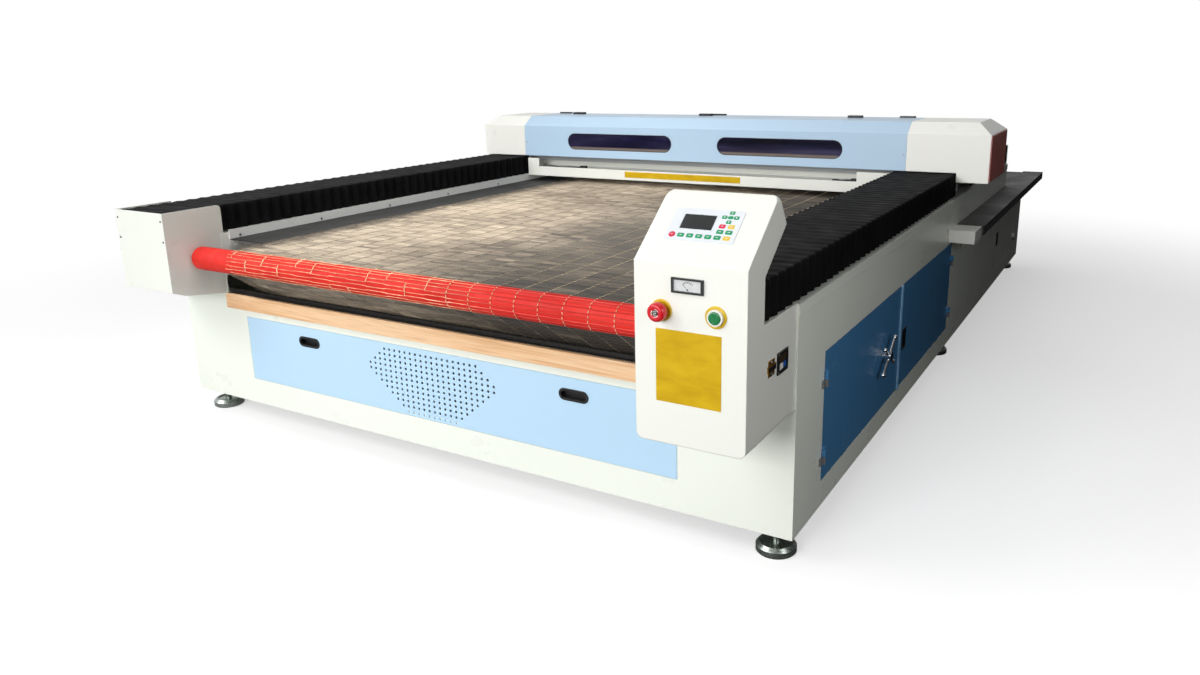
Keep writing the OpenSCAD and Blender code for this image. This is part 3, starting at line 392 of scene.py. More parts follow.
def window():
    """Dark acrylic: violet clouds, partly the inside seen through and partly painted reflection,
    and a paler line along the lower edge, a painted reflection of the bed.
    """
    k = Mat("tinted_window")
    # violet clouds: partly the inside seen through, partly painted reflection
    c = k.ramp(k.noise(3.2, 4, stretch=(0.7, 1, 5), dist=0.8),
               [(0.35, srgb(10, 10, 20)), (0.55, srgb(34, 32, 62)), (0.75, srgb(70, 66, 100))])
    # painted reflection of the bed: a paler line along the lower edge
    c = k.mix(k.step(k.xyz(k.at)[2], 0.783, 0.789, 1.0, 0.0), c, srgb(128, 116, 110))
    return k.out(Base_Color=c, Roughness=k.remap(k.noise(18, 4), 0.04, 0.1), Alpha=0.8)


def dial():
    k = Mat("dial_face")
    c = k.mix(k.remap(k.noise(60, 3), 0, 0.3), srgb(244, 245, 243), srgb(226, 228, 226))
    return k.out(Base_Color=c, Roughness=k.remap(k.noise(80, 3), 0.4, 0.5))


lcd = glassy("lcd", srgb(22, 27, 28), 0.14)
clear = glassy("clear_window", srgb(236, 240, 244), 0.03, 0.18)
tinted = window()
tube_glass = glassy("tube_glass", srgb(214, 226, 240), 0.05, 0.5)
wood, film, rubber, bed, cloth = beech(), sticker(), rubber_red(), bed_cloth(), bellows_cloth()
brush, dial_face = bristles(), dial()
PALE_PLATING = (222, 190, 140), (244, 220, 178), (250, 236, 208)
# the rollers' cross wires: painted highlight on the left of the roller, painted red shade on the
# right
wire = mesh_wire("cross_wire", ((204, 118, 86), (222, 146, 108), (248, 216, 174)), wire_glint_left)
link = mesh_wire("chain_wire", PALE_PLATING)
# chains of the runs and the belt's edges: painted highlight on the right of the flat run
run_link = mesh_wire("run_chain_wire", PALE_PLATING, bright_right)


def skin(node, mat):
    """Gives a CAD node its finished material."""
    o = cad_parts[node]
    if not o.material_slots:
        o.data.materials.append(None)
    for slot in o.material_slots:
        slot.link = "OBJECT"
        slot.material = mat


for node, mat in {
    "cabinet": white, "front_panel": blue, "panel_grips": black_plastic, "wood_strip": wood,
    "left_end_box": end_white, "trim_rails": rail_white, "rear_table": matt_black,
    "side_ledge": matt_black, "ledge_bracket": cap_white, "levelling_feet": pad_steel,
    "door_post": post_blue, "front_door": door_blue, "rear_door": door_blue,
    "service_door": white, "door_hinges": grey_paint, "cross_handle": chrome,
    "rear_door_pull": black_plastic, "service_door_pull": black_plastic, "front_shaft": steel_x,
    "rear_shaft": steel_x, "roller_bearings": grey_paint, "conveyor_motor": black_paint,
    "bed_slats": alu, "bed_side_plates": matt_black, "console_housing": white_con,
    "control_panel": pad_plastic, "display": lcd, "meter_case": black_plastic,
    "meter_window": clear, "button_rings": yellow, "start_bezel": white_plastic,
    "start_button": green_plastic, "console_plate": film, "socket_frame": black_plastic,
    "mains_gland": black_plastic, "y_rails": steel_x, "gantry_frame": frame_grey,
    "carriages": grey_paint, "x_rail": steel_x, "gantry_cover": cover_blue,
    "left_end_cap": cap_white, "right_end_cap": cap_white, "end_plates": side_red,
    "cover_windows": tinted, "gantry_tray": white_con, "tray_strip": film,
    "cover_catches": black_plastic, "laser_tube": tube_glass, "laser_head": grey_paint,
    "data_port": brass, "meter_needle": black_plastic, "stop_button": red_plastic,
    "keypad": key_green, "front_screws": screw_zinc,
}.items():
    skin(node, mat)


# ---------------------------------------------------------------- mesh helpers
def make(name, bm, mat, body, replaces=(), smooth=None, bevel=0.0):
    """Makes a piece of a mesh; smooth is the sharpest smoothed angle, bevel is in millimetres."""
    bmesh.ops.recalc_face_normals(bm, faces=bm.faces)
    me = bpy.data.meshes.new(name)
    bm.to_mesh(me)
    bm.free()
    for m in mat if isinstance(mat, (list, tuple)) else [mat]:
        me.materials.append(m)
    o = bpy.data.objects.new(name, me)
    bpy.context.scene.collection.objects.link(o)
    if smooth is not None:
        for p in me.polygons:
            p.use_smooth = True
        me.set_sharp_from_angle(angle=radians(smooth))
    if bevel:
        b = o.modifiers.new("bevel", "BEVEL")
        b.width = bevel / 1000
        b.segments = 2
        b.limit_method = "ANGLE"
    if body:
        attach(o, body)
    if replaces:
        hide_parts(*replaces)
    return o


def box(bm, x0, x1, y0, y1, z0, z1, mi=0):
    vs = [bm.verts.new(V(x, y, z)) for x in (x0, x1) for y in (y0, y1) for z in (z0, z1)]
    for f in ((0, 1, 3, 2), (4, 6, 7, 5), (0, 4, 5, 1), (2, 3, 7, 6), (0, 2, 6, 4), (1, 5, 7, 3)):
        bm.faces.new([vs[i] for i in f]).material_index = mi


def loft(bm, rings, caps=True, ring=False, mi=0):
    """Joins closed outlines (row frame) into a tube, or with ring into a closed band."""
    rows = [[bm.verts.new(p) for p in r] for r in rings]
    n = len(rows[0])
    for a, b in zip(rows, rows[1:] + rows[:ring]):
        for i in range(n):
            j = (i + 1) % n
            bm.faces.new((a[i], a[j], b[j], b[i])).material_index = mi
    if caps and not ring:
        bm.faces.new(rows[0]).material_index = mi
        bm.faces.new(list(reversed(rows[-1]))).material_index = mi


def slab(bm, outline, to, heights, mi=0):
    """A flat outline raised from one height to the next; to(u, v, height) places a point."""
    loft(bm, [[to(u, v, h) for u, v in outline] for h in heights], mi=mi)


def lathe(bm, prof, to, seg=48, caps=True):
    """Turns (along, radius) pairs; to(along, radius * cos, radius * sin) places a point."""
    loft(bm, [[to(a, r * cos(2 * pi * i / seg), r * sin(2 * pi * i / seg)) for i in range(seg)]
              for a, r in prof], caps=caps)


def rounded(w, h, r, n=5):
    """Outline of a rounded rectangle round the origin."""
    out = []
    for sx, sy, a0 in ((1, 1, 0), (-1, 1, 90), (-1, -1, 180), (1, -1, 270)):
        for i in range(n + 1):
            a = radians(a0 + 90 * i / n)
            out.append((sx * (w / 2 - r) + r * cos(a), sy * (h / 2 - r) + r * sin(a)))
    return out


def along_x(y, z):
    return lambda a, u, v: V(a, y + u, z + v)


def along_y(x, z):
    return lambda a, u, v: V(x + u, a, z + v)


# ---------------------------------------------------------------- rollers
AXIS_Z, FRONT_Y, REAR_Y = 510.0, -88.0, 3010.0
ROLL_R = 37.2


def roller(name, y, body, node):
    """Rubber sleeve with rounded ends and a fine groove near its left end."""
    x0, x1, corner, bore = 232.0, 1938.0, 15.0, 13.0
    end = []
    for i in range(9):
        a = radians(90 * i / 8)
        end.append((corner - corner * cos(a) * 0.98, ROLL_R - corner + corner * sin(a)))
    prof = [(x0, bore)] + [(x0 + u, r) for u, r in end] + [(x0 + 40, ROLL_R)]
    groove = x0 + 118
    prof += [(groove + u, ROLL_R - d) for u, d in ((0, 0), (0.6, 0.5), (1.6, 0.5), (2.2, 0))]
    a, b, n = x0 + 130.2, x1 - corner - 9.8, 24
    prof += [(a + (b - a) * i / n, ROLL_R) for i in range(n + 1)]
    prof += [(x1 - u, r) for u, r in reversed(end)] + [(x1, bore)]
    bm = bmesh.new()
    lathe(bm, prof, along_x(y, AXIS_Z), 72)
    make(name, bm, rubber, body, (node,), smooth=40)


roller("front_roller_sleeve", FRONT_Y, "front_drum", "front_roller")
roller("rear_roller_sleeve", REAR_Y, "rear_drum", "rear_roller")

# ---------------------------------------------------------------- mesh belt
FLAT = REAR_Y - FRONT_Y
BELT_R, MID_R = 40.0, 38.75
PITCH = 12.0
WIRE_R, WAVE, LINK_R = 1.05, 0.9, 1.25
# left of this x only short stretches of each chain stand up on the front roller
WHOLE_X = 1280
BRUSH_TOP = 396.0
# the slack run leaves the roller at the angle TOUCH_A, rests on the brush, and levels out at SAG_Y
TOUCH_Z = BRUSH_TOP + 0.4
TOUCH_A = (math.atan2(AXIS_Z - TOUCH_Z, -FRONT_Y)
           - math.asin(BELT_R / math.hypot(FRONT_Y, AXIS_Z - TOUCH_Z)))
SAG_Y = 60.0


def belt_loop():
    """The loop's middle line from the top of the front roller backwards: (y, z) points, and
    the length along the line at each."""
    pts = [(FRONT_Y + FLAT * i / 60, AXIS_Z + MID_R) for i in range(60)]
    pts += [(REAR_Y + MID_R * sin(pi * i / 40), AXIS_Z + MID_R * cos(pi * i / 40))
            for i in range(41)]
    slope = math.tan(TOUCH_A)
    z0 = TOUCH_Z + (BELT_R - MID_R) / cos(TOUCH_A)
    low = z0 - slope * SAG_Y / 2
    for i in range(60, 0, -1):
        u = i / 60
        rise = (AXIS_Z - MID_R - low) * u * u * (3 - 2 * u)
        pts.append((SAG_Y + (REAR_Y - SAG_Y) * u, low + rise))
    pts += [(q, z0 - slope * (q - q * q / SAG_Y / 2)) for q in range(60, -1, -10)]
    for i in range(61):
        a = TOUCH_A + (pi - TOUCH_A) * i / 60
        pts.append((FRONT_Y - MID_R * sin(a), AXIS_Z - MID_R * cos(a)))
    lengths = [0.0]
    for p, q in zip(pts, pts[1:]):
        lengths.append(lengths[-1] + math.hypot(q[0] - p[0], q[1] - p[1]))
    return pts, lengths


LOOP, LENGTHS = belt_loop()
ROUND = LENGTHS[-1]


def belt_path(s):
    """Point and direction along the loop at length s."""
    s = s % ROUND
    i = max(1, min(bisect.bisect_left(LENGTHS, s), len(LENGTHS) - 1))
    (y0, z0), (y1, z1) = LOOP[i - 1], LOOP[i]
    d = max(LENGTHS[i] - LENGTHS[i - 1], 1e-9)
    u = (s - LENGTHS[i - 1]) / d
    return y0 + (y1 - y0) * u, z0 + (z1 - z0) * u, (y1 - y0) / d, (z1 - z0) / d


def stations():
    """Where the cross wires lie, without those of the slack run that nothing shows."""
    n = int(ROUND / PITCH)
    out = []
    for i in range(n):
        s = i * ROUND / n
        y, z = belt_path(s)[:2]
        if z > 480 or y < 150 or y > 2800:
            out.append(s)
    return out


def on_roller(s, *centres):
    y, z = belt_path(s)[:2]
    return any(math.hypot(y - c, z - AXIS_Z) < MID_R + 1 for c in centres)


places = stations()
chains = [CHAIN_X + CHAIN_STEP * i for i in range(CHAINS)]
QUARTERS = (0, pi / 2, pi, 3 * pi / 2)
bm, bm_run = bmesh.new(), bmesh.new()
for k, s in enumerate(places):
    y, z, ty, tz = belt_path(s)
    ragged = random.uniform(0, 26)
    xs = [BX0 + 3 + ragged] + [c + d for c in chains for d in (-5, 5)] + [BX1 - 3]
    rings = []
    for i, x in enumerate(xs):
        w = WAVE if (i // 2 + k) % 2 else -WAVE
        cy, cz = y + ty * w, z + tz * w
        rings.append([V(x, cy + WIRE_R * (ty * cos(a) - tz * sin(a)),
                        cz + WIRE_R * (tz * cos(a) + ty * sin(a))) for a in QUARTERS])
    loft(bm if on_roller(s, FRONT_Y, REAR_Y) else bm_run, rings)
make("belt_cross_wires", bm, wire, "base", ("mesh_belt",), smooth=60)
make("belt_run_wires", bm_run, bed, "base", smooth=60)

# short links that tie the cross wires into chains
bm, bm_run = bmesh.new(), bmesh.new()
for k, s in enumerate(places):
    arc = on_roller(s, FRONT_Y)
    dx = 1.5 if k % 2 else -1.5
    for i, c in enumerate(chains):
        if arc and c < WHOLE_X and (k + i + 2 * i * i) % 9 > 2:
            continue
        rings = []
        for u in (0.12, 0.38, 0.6) if arc and c > WHOLE_X else (0.08, 0.5, 0.84):
            y, z, ty, tz = belt_path(s + PITCH * u)
            cx = c + dx * (1 - 2 * u)
            ring = []
            for a in QUARTERS:
                h = 0.2 + 0.95 * sin(a)
                ring.append(V(cx + LINK_R * cos(a), y - tz * h, z + ty * h))
            rings.append(ring)
        loft(bm if arc else bm_run, rings)
make("belt_chains", bm, link, "base", smooth=60)
make("belt_run_chains", bm_run, run_link, "base", smooth=60)


def belt_strip(bm, s0, s1, x0, x1, h0, h1, n):
    """A thin strip lying on the loop from s0 to s1, between heights h0 and h1 off its line."""
    corners = (x0, h0), (x1, h0), (x1, h1), (x0, h1)
    rings = []
    for i in range(n + 1):
        y, z, ty, tz = belt_path(s0 + (s1 - s0) * i / n)
        rings.append([V(x, y - tz * h, z + ty * h) for x, h in corners])
    loft(bm, rings)


# the surface that shows through the mesh, and the bound edges, on the flat and slack runs
s_low, s_hang = FLAT + pi * MID_R, ROUND - (pi - TOUCH_A) * MID_R
EDGE = 4
bm = bmesh.new()
belt_strip(bm, 2, FLAT - 2, BX0 + EDGE, BX1 - EDGE, -1.1, -0.5, 120)
belt_strip(bm, s_low, s_hang, BX0 + EDGE, BX1 - EDGE, -1.0, -0.4, 160)
make("belt_surface", bm, bed, "base")
bm = bmesh.new()
for x in (BX0, BX1 - EDGE):
    belt_strip(bm, 30, FLAT - 20, x, x + EDGE, -1.1, 1.1, 60)
    belt_strip(bm, s_low, s_hang, x, x + EDGE, -1.1, 1.1, 120)
make("belt_edges", bm, run_link, "base", smooth=50)

# ---------------------------------------------------------------- bellows
FOLD, DEPTH, CLOTH = 46.0, 11.0, 1.4
BELLOWS_Z0, BELLOWS_Z1 = 579.0, 664.0
# one fold from crest to crest: share of its length, and depth
FOLD_SHAPE = [(0.0, DEPTH), (0.09, DEPTH - 0.6), (0.27, 5.8), (0.42, 1.6), (0.47, 0.35), (0.5, 0.0),
              (0.53, 0.35), (0.58, 1.6), (0.73, 5.8), (0.91, DEPTH - 0.6), (1.0, DEPTH)]


def bellows_section(x0, x1, y, d):
    """Outline across the cover where its fold is d deep; its outer side stays flatter than
    the side towards the bed."""
    zb, r, m = BELLOWS_Z0, 5.0, 5
    left = x0 < 1000
    a = x0 + (0.3 * d if left else d)
    b = x1 - (d if left else 0.55 * d)
    t = BELLOWS_Z1 - 0.16 * d
    outer = [(a, zb), (a, zb + 28), (a, zb + 56), (a, t - r)]
    outer += [(a + r * (1 - cos(q)), t - r + r * sin(q)) for q in (pi / 6, pi / 3)]
    outer += [(a + r, t)]
    outer += [(a + r + (b - a - 2 * r) * i / m, t - 0.5 * sin(pi * i / m)) for i in range(1, m)]
    outer += [(b - r, t)]
    outer += [(b - r * (1 - cos(q)), t - r + r * sin(q)) for q in (pi / 3, pi / 6)]
    outer += [(b, t - r), (b, zb + 56), (b, zb + 28), (b, zb)]
    inner = [(min(max(x, a + CLOTH), b - CLOTH), min(z, t - CLOTH)) for x, z in outer]
    return [V(x, y, z) for x, z in outer + inner[::-1]]


def bellows(name, x0, x1, ya, yb, nodes):
    """Pleated cover from ya, its fixed end, to yb, its moving end; each fold is built over its own
    short stretch, and the folds are joined into one piece."""
    n = round(abs(yb - ya) / FOLD)
    objs = []
    for k in range(n):
        bm = bmesh.new()
        rings = []
        jit = random.uniform(-0.5, 0.5)
        for u, d in FOLD_SHAPE:
            slack = jit if 0.2 < u < 0.8 and d > 0.5 else 0
            rings.append(bellows_section(x0, x1, ya + (yb - ya) * (k + u) / n, d + slack))
        loft(bm, rings, caps=False)
        o = make(f"{name}_{k}", bm, cloth, None, smooth=38)
        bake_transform(o)
        objs.append(o)
    o = objs[0]
    with bpy.context.temp_override(active_object=o, object=o, selected_objects=objs,
                                   selected_editable_objects=objs):
        bpy.ops.object.join()
    o.name = name
    if nodes:
        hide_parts(*nodes)


bellows("bellows_front_left", -15, 220, -190, 1725, ("bellows_front",))
bellows("bellows_front_right", 1959, 2196, -192, 1725, ())
bellows("bellows_rear_left", -15, 220, 2957, 2011, ("bellows_rear",))
bellows("bellows_rear_right", 1959, 2196, 2957, 2011, ())

# ---------------------------------------------------------------- front strips
TUFT = 8.0
bm = bmesh.new()
x = 244.5
while x < 1944:
    # a tuft: five bristles that spread over the top edge of the wood
    for j in range(5):
        u = (j - 2) / 2
        bx, w = x + 2.6 * u, 0.75
        top = BRUSH_TOP - 0.4 - 2.6 * u * u - random.uniform(0, 1.6)
        lean = 1.5 * u + random.uniform(-0.5, 0.5)
        y0 = -3.7 - (1 - abs(u)) * 0.2
        p = [(bx, y0, 374), (bx + w, y0, 374),
             (bx + w + lean, y0 + 0.5, top), (bx + lean, y0 + 0.5, top)]
        loft(bm, [[V(a, b + thick, c) for a, b, c in p] for thick in (0, 2.6)])
    x += TUFT
# the lower bristles that lie on top of the wood, and the strip that holds them
for i in range(212):
    x = 244 + TUFT * i
    box(bm, x, x + 5.2, -12.0 - random.uniform(0, 1), -4.05, 378.05, 380.6 + random.uniform(0, 0.8))
box(bm, 243, 1947, -3.0, -0.1, 335.5, 390.5)
make("brush_bristles", bm, brush, "base", ("brush_strip",))


def screw(bm, to, r, h, seg=20):
    """Domed cross-head screw; to(along, u, v) places a point, along pointing outwards."""
    dome = [(0, r), (h * 0.35, r), (h * 0.75, r * 0.82), (h, r * 0.45), (h * 1.02, 0.05)]
    lathe(bm, dome, to, seg)
    for a, b in ((0.12, 0.5), (0.5, 0.12)):
        bar = [(-r * a, -r * b), (r * a, -r * b), (r * a, r * b), (-r * a, r * b)]
        slab(bm, bar, lambda u, v, w: to(w, u, v), (h * 0.9, h * 1.08))


bm = bmesh.new()
for x in (492, 898, 1304, 1710):
    screw(bm, lambda a, u, v, x=x: V(x + u, -a, 326.5 + v), 4, 2)
for i in range(9):
    y = 70 + 345 * i
    screw(bm, lambda a, u, v, y=y: V(229 + a, y + u, 558 + v), 4, 2)
    screw(bm, lambda a, u, v, y=y: V(1955 - a, y + u, 558 + v), 4, 2)
for x in (-11, 215):
    for z in (641, 576):
        screw(bm, lambda a, u, v, x=x, z=z: V(x + u, -193 - a, z + v), 3.5, 2)
make("sheet_screws", bm, screw_zinc, "base", ("front_screws",), smooth=40)


# ---------------------------------------------------------------- console details
# the console's left side, its front face, and the edge where the slanted face begins
CX0, FACE_Y, CB = 1947.0, -278.0, 703.0
SLANT = math.atan2(123, 155)


def S(x, s, h):
    """Point on the slanted face: x across, s up the slope, h out of it."""
    c, d = cos(SLANT), sin(SLANT)
    return V(CX0 + x, FACE_Y + s * c - h * d, CB + s * d + h * c)


def on_slant(cx, cs):
    return lambda u, v, h: S(cx + u, cs + v, h)


def key(bm, cx, cs, w, l, r):
    """A film key, bevelled by half a millimetre round its top."""
    o, h0, h1, inset = rounded(w, l, r, 4), 1.5, 2.3, 0.5
    fx, fs = 1 - inset / w * 2, 1 - inset / l * 2
    loft(bm, [[S(cx + u * a, cs + v * b, h) for u, v in o]
              for a, b, h in ((1, 1, h0), (1, 1, h1 - 0.25), (fx, fs, h1))])


# keys as (x, s) on the slanted face
ROW_S, UPPER_S, TOP_S = 73.3, 88.8, 103.7
RED_X, COL_X, LAST_X = 57.5, 158, 177.5
PAD_X, PAD_S = 167.5, 128.3
green = [(RED_X + 20 * i, ROW_S) for i in range(1, 6)] + [(COL_X, UPPER_S), (LAST_X, UPPER_S)]
arrows = [(PAD_X + 13 * cos(radians(a)), PAD_S + 12.4 * sin(radians(a)), a)
          for a in (0, 90, 180, 270)]
bm = bmesh.new()
for x, s in green:
    key(bm, x, s, 14.5, 10.4, 2.2)
for x, s, a in arrows:
    key(bm, x, s, 11.0, 8.8, 2.0)
key(bm, PAD_X, PAD_S, 12.0, 8.0, 3.8)
make("keys_green", bm, key_green, "base", ("keypad",), smooth=35)
bm = bmesh.new()
lathe(bm, [(1.5, 7.2), (2.1, 7.2), (2.4, 6.7), (2.45, 0.1)],
      lambda a, u, v: S(RED_X + u, ROW_S + v, a), 32)
key(bm, COL_X, TOP_S, 13.5, 10.2, 2.2)
make("keys_red", bm, key_red, "base", smooth=35)
bm = bmesh.new()
key(bm, LAST_X, ROW_S, 14.5, 10.4, 2.2)
key(bm, LAST_X, TOP_S, 13.5, 10.2, 2.2)
make("keys_yellow", bm, key_yellow, "base", smooth=35)
# plain arrow marks on the four direction keys, and bars on the rest
bm = bmesh.new()
for x, s, a in arrows:
    c, d = cos(radians(a)), sin(radians(a))
    arrow = [(u * c - v * d, u * d + v * c) for u, v in ((2.3, 0), (-1.3, 1.9), (-1.3, -1.9))]
    slab(bm, arrow, on_slant(x, s), (2.3, 2.42))
for x, s in green + [(LAST_X, ROW_S), (COL_X, TOP_S), (LAST_X, TOP_S), (RED_X, ROW_S)]:
    slab(bm, rounded(5.6, 1.2, 0.5, 2), on_slant(x, s), (2.3, 2.5))
make("key_marks", bm, key_mark, "base")
# frame line round the display
bm = bmesh.new()
outside, inside = rounded(76, 44.6, 2.5), rounded(71.6, 40.2, 0.8)
loft(bm, [[S(102.5 + u, 110.7 + v, h) for u, v in o]
          for o, h in ((outside, 1.5), (outside, 2.0), (inside, 2.0), (inside, 1.0))], caps=False)
make("display_bezel", bm, pad_plastic, "base", smooth=35)

# meter face with a plain scale round a pivot below its middle
MX, MZ, PIVOT = CX0 + 121.5, 660.5, -8


def on_face(x, z):
    """Places (u, v, y) beside (x, z) on the console's front face."""
    return lambda u, v, y: V(x + u, y, z + v)


bm = bmesh.new()
slab(bm, rounded(59.6, 22.6, 0.6, 2), on_face(MX, MZ), (FACE_Y - 0.05, FACE_Y - 0.6))
make("meter_face", bm, dial_face, "base")
bm = bmesh.new()
for i in range(31):
    a = radians(-45 + 90 * i / 30)
    r0, r1, w = (13.2, 16.6, 0.35) if i % 5 == 0 else (14.2, 16.0, 0.2)
    tick = [(r * sin(a) + q * cos(a), PIVOT + r * cos(a) - q * sin(a))
            for r, q in ((r0, -w), (r1, -w), (r1, w), (r0, w))]
    slab(bm, tick, on_face(MX, MZ), (FACE_Y - 0.6, FACE_Y - 0.75))
rings = []
for t in range(-45, 46, 5):
    x, z = 13.0 * sin(radians(t)), 13.0 * cos(radians(t))
    rings.append([V(MX + x * f, y, MZ + PIVOT + z * f)
                  for f, y in ((1, FACE_Y - 0.6), (1.018, FACE_Y - 0.6),
                               (1.018, FACE_Y - 0.75), (1, FACE_Y - 0.75))])
loft(bm, rings)
make("meter_scale", bm, black_plastic, "base")

# emergency stop: mushroom head with a dished face
EX, EZ = CX0 + 63, 605.0
bm = bmesh.new()
lathe(bm, [(-290, 10.95), (-266.5, 10.95)], along_y(EX, EZ), 40)
lathe(bm, [(-287, 10), (-287, 15.5), (-288.2, 17.6), (-291.6, 19.7), (-295, 20), (-301, 19.8),
           (-304.6, 18.9), (-307.2, 17.2), (-308.7, 14.6), (-308.9, 12.6), (-308.2, 10.2),
           (-307.4, 6.2), (-307.2, 0.1)], along_y(EX, EZ), 56)
make("stop_mushroom", bm, red_plastic, "stop", ("stop_button",), smooth=45)
# three curved turn arrows in the dish
bm = bmesh.new()
for a0 in (20, 140, 260):
    rings = []
    for i in range(9):
        a = radians(a0 + 8 * i)
        rings.append([V(EX + r * cos(a), y, EZ + r * sin(a))
                      for r, y in ((8.6, -308.05), (7.2, -307.85), (7.2, -307.3), (8.6, -307.5))])
    loft(bm, rings)
    tip, back = radians(a0 + 73), radians(a0 + 61)
    head = [(r * cos(a), r * sin(a)) for r, a in ((7.9, tip), (9.8, back), (6.0, back))]
    slab(bm, head, on_face(EX, EZ), (-307.4, -308.1))
make("stop_turn_marks", bm, white_plastic, "stop")
bm = bmesh.new()
lathe(bm, [(-307.0, 6.6), (-307.9, 6.6), (-308.2, 6.0), (-308.2, 0.1)], along_y(EX, EZ), 32)
for row in (-0.5, 0.5, 1.5):
    slab(bm, rounded(7.2, 0.9, 0.3, 2), on_face(EX, EZ + row * 3.4 - 1.7), (-308.1, -308.6), mi=1)
make("stop_centre", bm, [black_plastic, white_plastic], "stop", smooth=40)

# start button: domed green cap
SX, SZ = CX0 + 183, 604.0
bm = bmesh.new()
lathe(bm, [(-266, 12.9), (-286, 12.9), (-288, 12.7), (-288.8, 11.6), (-289, 10), (-288.7, 6),
           (-288.6, 0.1)], along_y(SX, SZ), 48)
make("start_cap", bm, green_plastic, "start", ("start_button",), smooth=45)
# raised lip round the ring plates
for name, x, z in (("stop_ring_lip", EX, EZ), ("start_ring_lip", SX, SZ)):
    bm, r = bmesh.new(), 22.9
    lip = (0.1, 0), (1.6, 0), (2.6, 1.0), (2.8, 2.2), (2.2, 3.2), (1.9, 3.4)
    lathe(bm, [(FACE_Y - h, r - d) for h, d in lip], along_y(x, z), 64, caps=False)
    make(name, bm, yellow, "base", smooth=40)

# sockets on the console's right side
SIDE_X = 2196
bm = bmesh.new()
for y0, y1, z0, z1, d, mi in ((-109, -69, 470, 484, 0.6, 0), (-107, -88, 454, 467, 1.2, 1),
                              (-85, -70, 454, 467, 1.0, 2)):
    box(bm, SIDE_X + 2.05, SIDE_X + 2.05 + d, y0, y1, z0, z1, mi)
for z in (473, 477, 481):
    box(bm, SIDE_X + 2.6, SIDE_X + 3.0, -105, -73, z - 1, z + 1, 3)
make("socket_inserts", bm, [brass, white_plastic, blue_plastic, black_plastic], "base",
     bevel=0.3)
bm = bmesh.new()
for z in (489.5, 448.5):
    for y in (-114.5, -63.5):
        screw(bm, lambda a, u, v, y=y, z=z: V(SIDE_X + 3.9 + a * 0.6, y + u, z + v), 2.2, 1.2, 14)
for z in (459, 485):
    screw(bm, lambda a, u, v, z=z: V(SIDE_X + 2 + a, -150 + u, z + v), 3.0, 1.5, 14)
make("socket_screws", bm, zinc, "base", smooth=40)
bm = bmesh.new()
box(bm, SIDE_X + 2.6, SIDE_X + 3.3, -168, -132, 468, 476)
make("port_mouth", bm, black_plastic, "base", bevel=0.2)

# ---------------------------------------------------------------- gantry details
COVER_Y, PLATE_X = 1688, 2311.9
bm = bmesh.new()
for x in (228, 2000):
    screw(bm, lambda a, u, v, x=x: V(x + u, COVER_Y - a, 730 + v), 3.4, 1.6)
for y in (1715, 1775, 1868, 1960, 2020):
    for z in (645, 796):
        screw(bm, lambda a, u, v, y=y, z=z: V(PLATE_X + a * 0.4, y + u, z + v), 3.6, 1.0)
make("gantry_screws", bm, zinc, "gantry", smooth=40)

# rubber lip round each viewing slot
bm = bmesh.new()
SLOT_X, SLOT_DX, SLOT_Z = 1114, 379, 740
for cx in (SLOT_X - SLOT_DX, SLOT_X + SLOT_DX):
    rings = []
    for h, depths in ((74, (0.4, 2.4)), (69, (2.4, 0.4))):
        r, half = h / 2, (h + 467) / 2
        outline = []
        for side, a0 in ((1, -90), (-1, 90)):
            for i in range(15):
                a = radians(a0 + 180 * i / 14)
                outline.append((cx + side * (half - r) + r * cos(a), SLOT_Z + r * sin(a)))
        rings += [[V(x, COVER_Y + y, z) for x, z in outline] for y in depths]
    loft(bm, rings, ring=True)
make("slot_seals", bm, black_plastic, "gantry", smooth=40)

# black sensor and hose ends on the tray's ledge
bm = bmesh.new()
for x0, x1 in ((300, 520), (1720, 1800)):
    rings = []
    for i in range(11):
        x, y, z = x0 + (x1 - x0) * i / 10, 1712 + 6 * sin(i * 0.9), 617 + 0.5 * sin(i)
        rings.append([V(x, y + 3.5 * cos(pi * j / 4), z + 3.5 * sin(pi * j / 4)) for j in range(8)])
    loft(bm, rings)
    box(bm, x1 - 4, x1 + 26, 1704, 1722, 612.6, 626)
make("tray_clips", bm, black_plastic, "gantry", smooth=40)


# ---------------------------------------------------------------- floor, light, camera
def seen(k):
    """1 for what the camera sees, also through glass."""
    path = k.n("ShaderNodeLightPath").outputs
    return k.math("MAXIMUM", path["Is Camera Ray"], path["Is Transmission Ray"])


def floor():
    """White floor that keeps the machine's shadow and fades to plain white further out."""
    bm = bmesh.new()
    s = 30
    bm.faces.new([bm.verts.new((x, y, 0)) for x, y in ((-s, -s), (s, -s), (s, s), (-s, s))])
    me = bpy.data.meshes.new("floor")
    bm.to_mesh(me)
    bm.free()
    o = bpy.data.objects.new("floor", me)
    bpy.context.scene.collection.objects.link(o)
    m = bpy.data.materials.new("floor")
    m.use_nodes = True
    k = Nodes(m.node_tree)
    k.t.nodes.remove(k.t.nodes["Principled BSDF"])
    at = k.n("ShaderNodeTexCoord").outputs["Object"]
    lit = k.add("ShaderNodeBsdfDiffuse", (0.62, 0.62, 0.62, 1))
    near = k.add("ShaderNodeAddShader", lit, k.add("ShaderNodeEmission", (1, 1, 1, 1), 0.5))
    out_from_middle = k.add("ShaderNodeVectorMath", at, out="Value", operation="LENGTH")
    plain = k.add("ShaderNodeEmission", (1, 1, 1, 1), 1.0)
    shown = k.add("ShaderNodeMixShader", k.step(out_from_middle, 2.2, 4.4), near, plain)
    # the floor throws less light back on the machine's right, where the room is dark
    tone = k.remap(k.xyz(at)[0], 0.46, 0.02, 0.5, 1.2)
    bounce = k.add("ShaderNodeBsdfDiffuse", k.add("ShaderNodeCombineColor", tone, tone, tone))
    surface = k.add("ShaderNodeMixShader", seen(k), bounce, shown)
    k.put(k.t.nodes["Material Output"].inputs["Surface"], surface)
    me.materials.append(m)


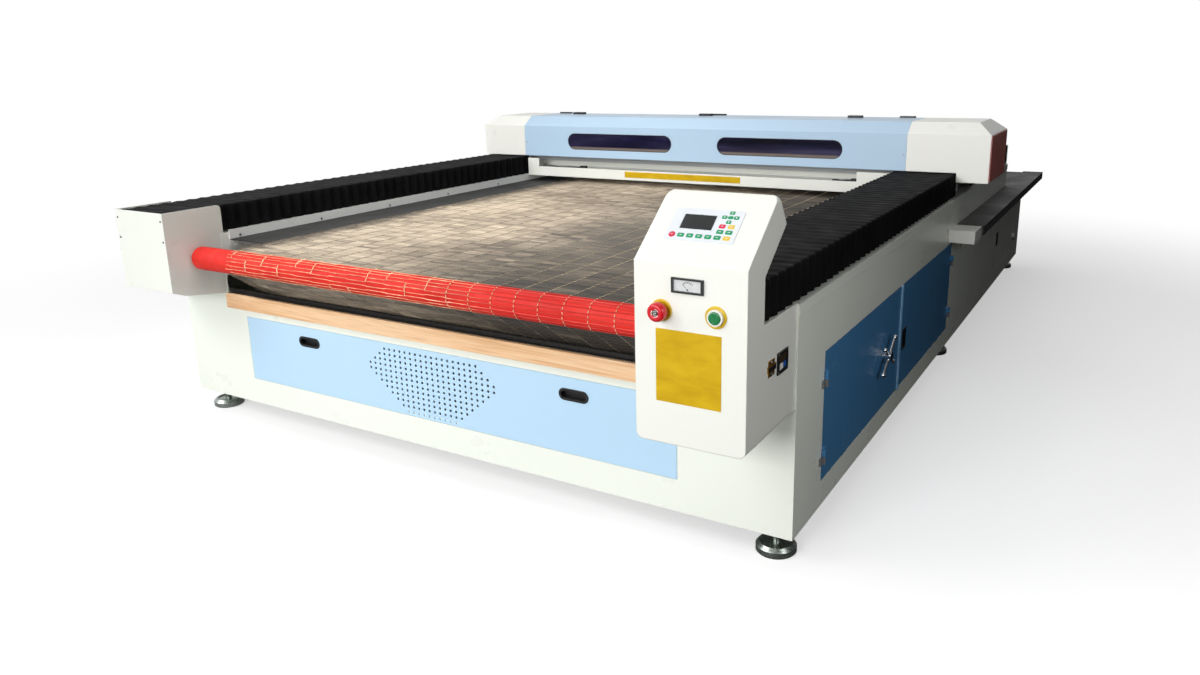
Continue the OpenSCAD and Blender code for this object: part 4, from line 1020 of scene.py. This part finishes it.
def studio():
    """White to the camera; its light is dimmer on the machine's right, like a dark side wall."""
    w = bpy.data.worlds.new("studio")
    w.use_nodes = True
    k = Nodes(w.node_tree)
    background = k.t.nodes["Background"]
    background.inputs["Color"].default_value = (1, 1, 1, 1)
    glossy = k.n("ShaderNodeLightPath").outputs["Is Glossy Ray"]
    light = k.math("ADD", k.math("MULTIPLY", glossy, 0.45), 0.4)
    x = k.xyz(k.n("ShaderNodeTexCoord").outputs["Generated"])[0]
    light = k.math("MULTIPLY", light, k.step(x, -0.1, 0.5, 1.0, 0.085))
    k.put(background.inputs["Strength"], k.math("MAXIMUM", seen(k), light))
    return w


def area(name, loc, target, size, power, spread=180):
    d = bpy.data.lights.new(name, "AREA")
    d.shape = "RECTANGLE"
    d.size, d.size_y = size
    d.energy = power
    d.spread = radians(spread)
    o = bpy.data.objects.new(name, d)
    o.location = loc
    o.rotation_euler = (Vector(target) - Vector(loc)).to_track_quat("-Z", "Y").to_euler()
    bpy.context.scene.collection.objects.link(o)


floor()
sc = bpy.context.scene
sc.world = studio()
area("key", (-3.4, -5.4, 4.2), (0, -0.6, 0.4), (3.5, 2.5), 168)
area("top", (-0.6, 0.6, 4.6), (-0.2, 0.3, 0.5), (3.0, 5.0), 30)
area("front", (0.2, -6.6, 1.9), (0.2, -1.6, 0.5), (2.5, 1.6), 172)
area("bed_fill", (-0.5, -1.5, 2.6), (-0.4, -1.0, 0.5), (0.9, 1.0), 9, 70)
area("side_fill", (2.7, -2.3, 1.3), (1.05, -2.1, 0.6), (0.8, 0.8), 16)

# camera: three-quarter view from the front right, slightly above the console
yaw, pitch, roll = 0.5414, -0.24995, -0.02
fwd = Vector((-sin(yaw) * cos(pitch), cos(yaw) * cos(pitch), sin(pitch)))
right = Vector((cos(yaw), sin(yaw), 0))
up = right.cross(fwd)
across = right * cos(roll) + up * sin(roll)
upright = -right * sin(roll) + up * cos(roll)
loc = Vector((1.69065, -3.4671, 1.15682))
cd = bpy.data.cameras.new("camera")
cam = bpy.data.objects.new("camera", cd)
sc.collection.objects.link(cam)
cam.matrix_world = Matrix(((across.x, upright.x, -fwd.x, loc.x),
                           (across.y, upright.y, -fwd.y, loc.y),
                           (across.z, upright.z, -fwd.z, loc.z), (0, 0, 0, 1)))
cd.sensor_width = 36
cd.lens = 26.907
cd.shift_x = -0.01686
cd.shift_y = -0.03766
cd.clip_end = 200
sc.camera = cam
sc.view_settings.view_transform = "Standard"
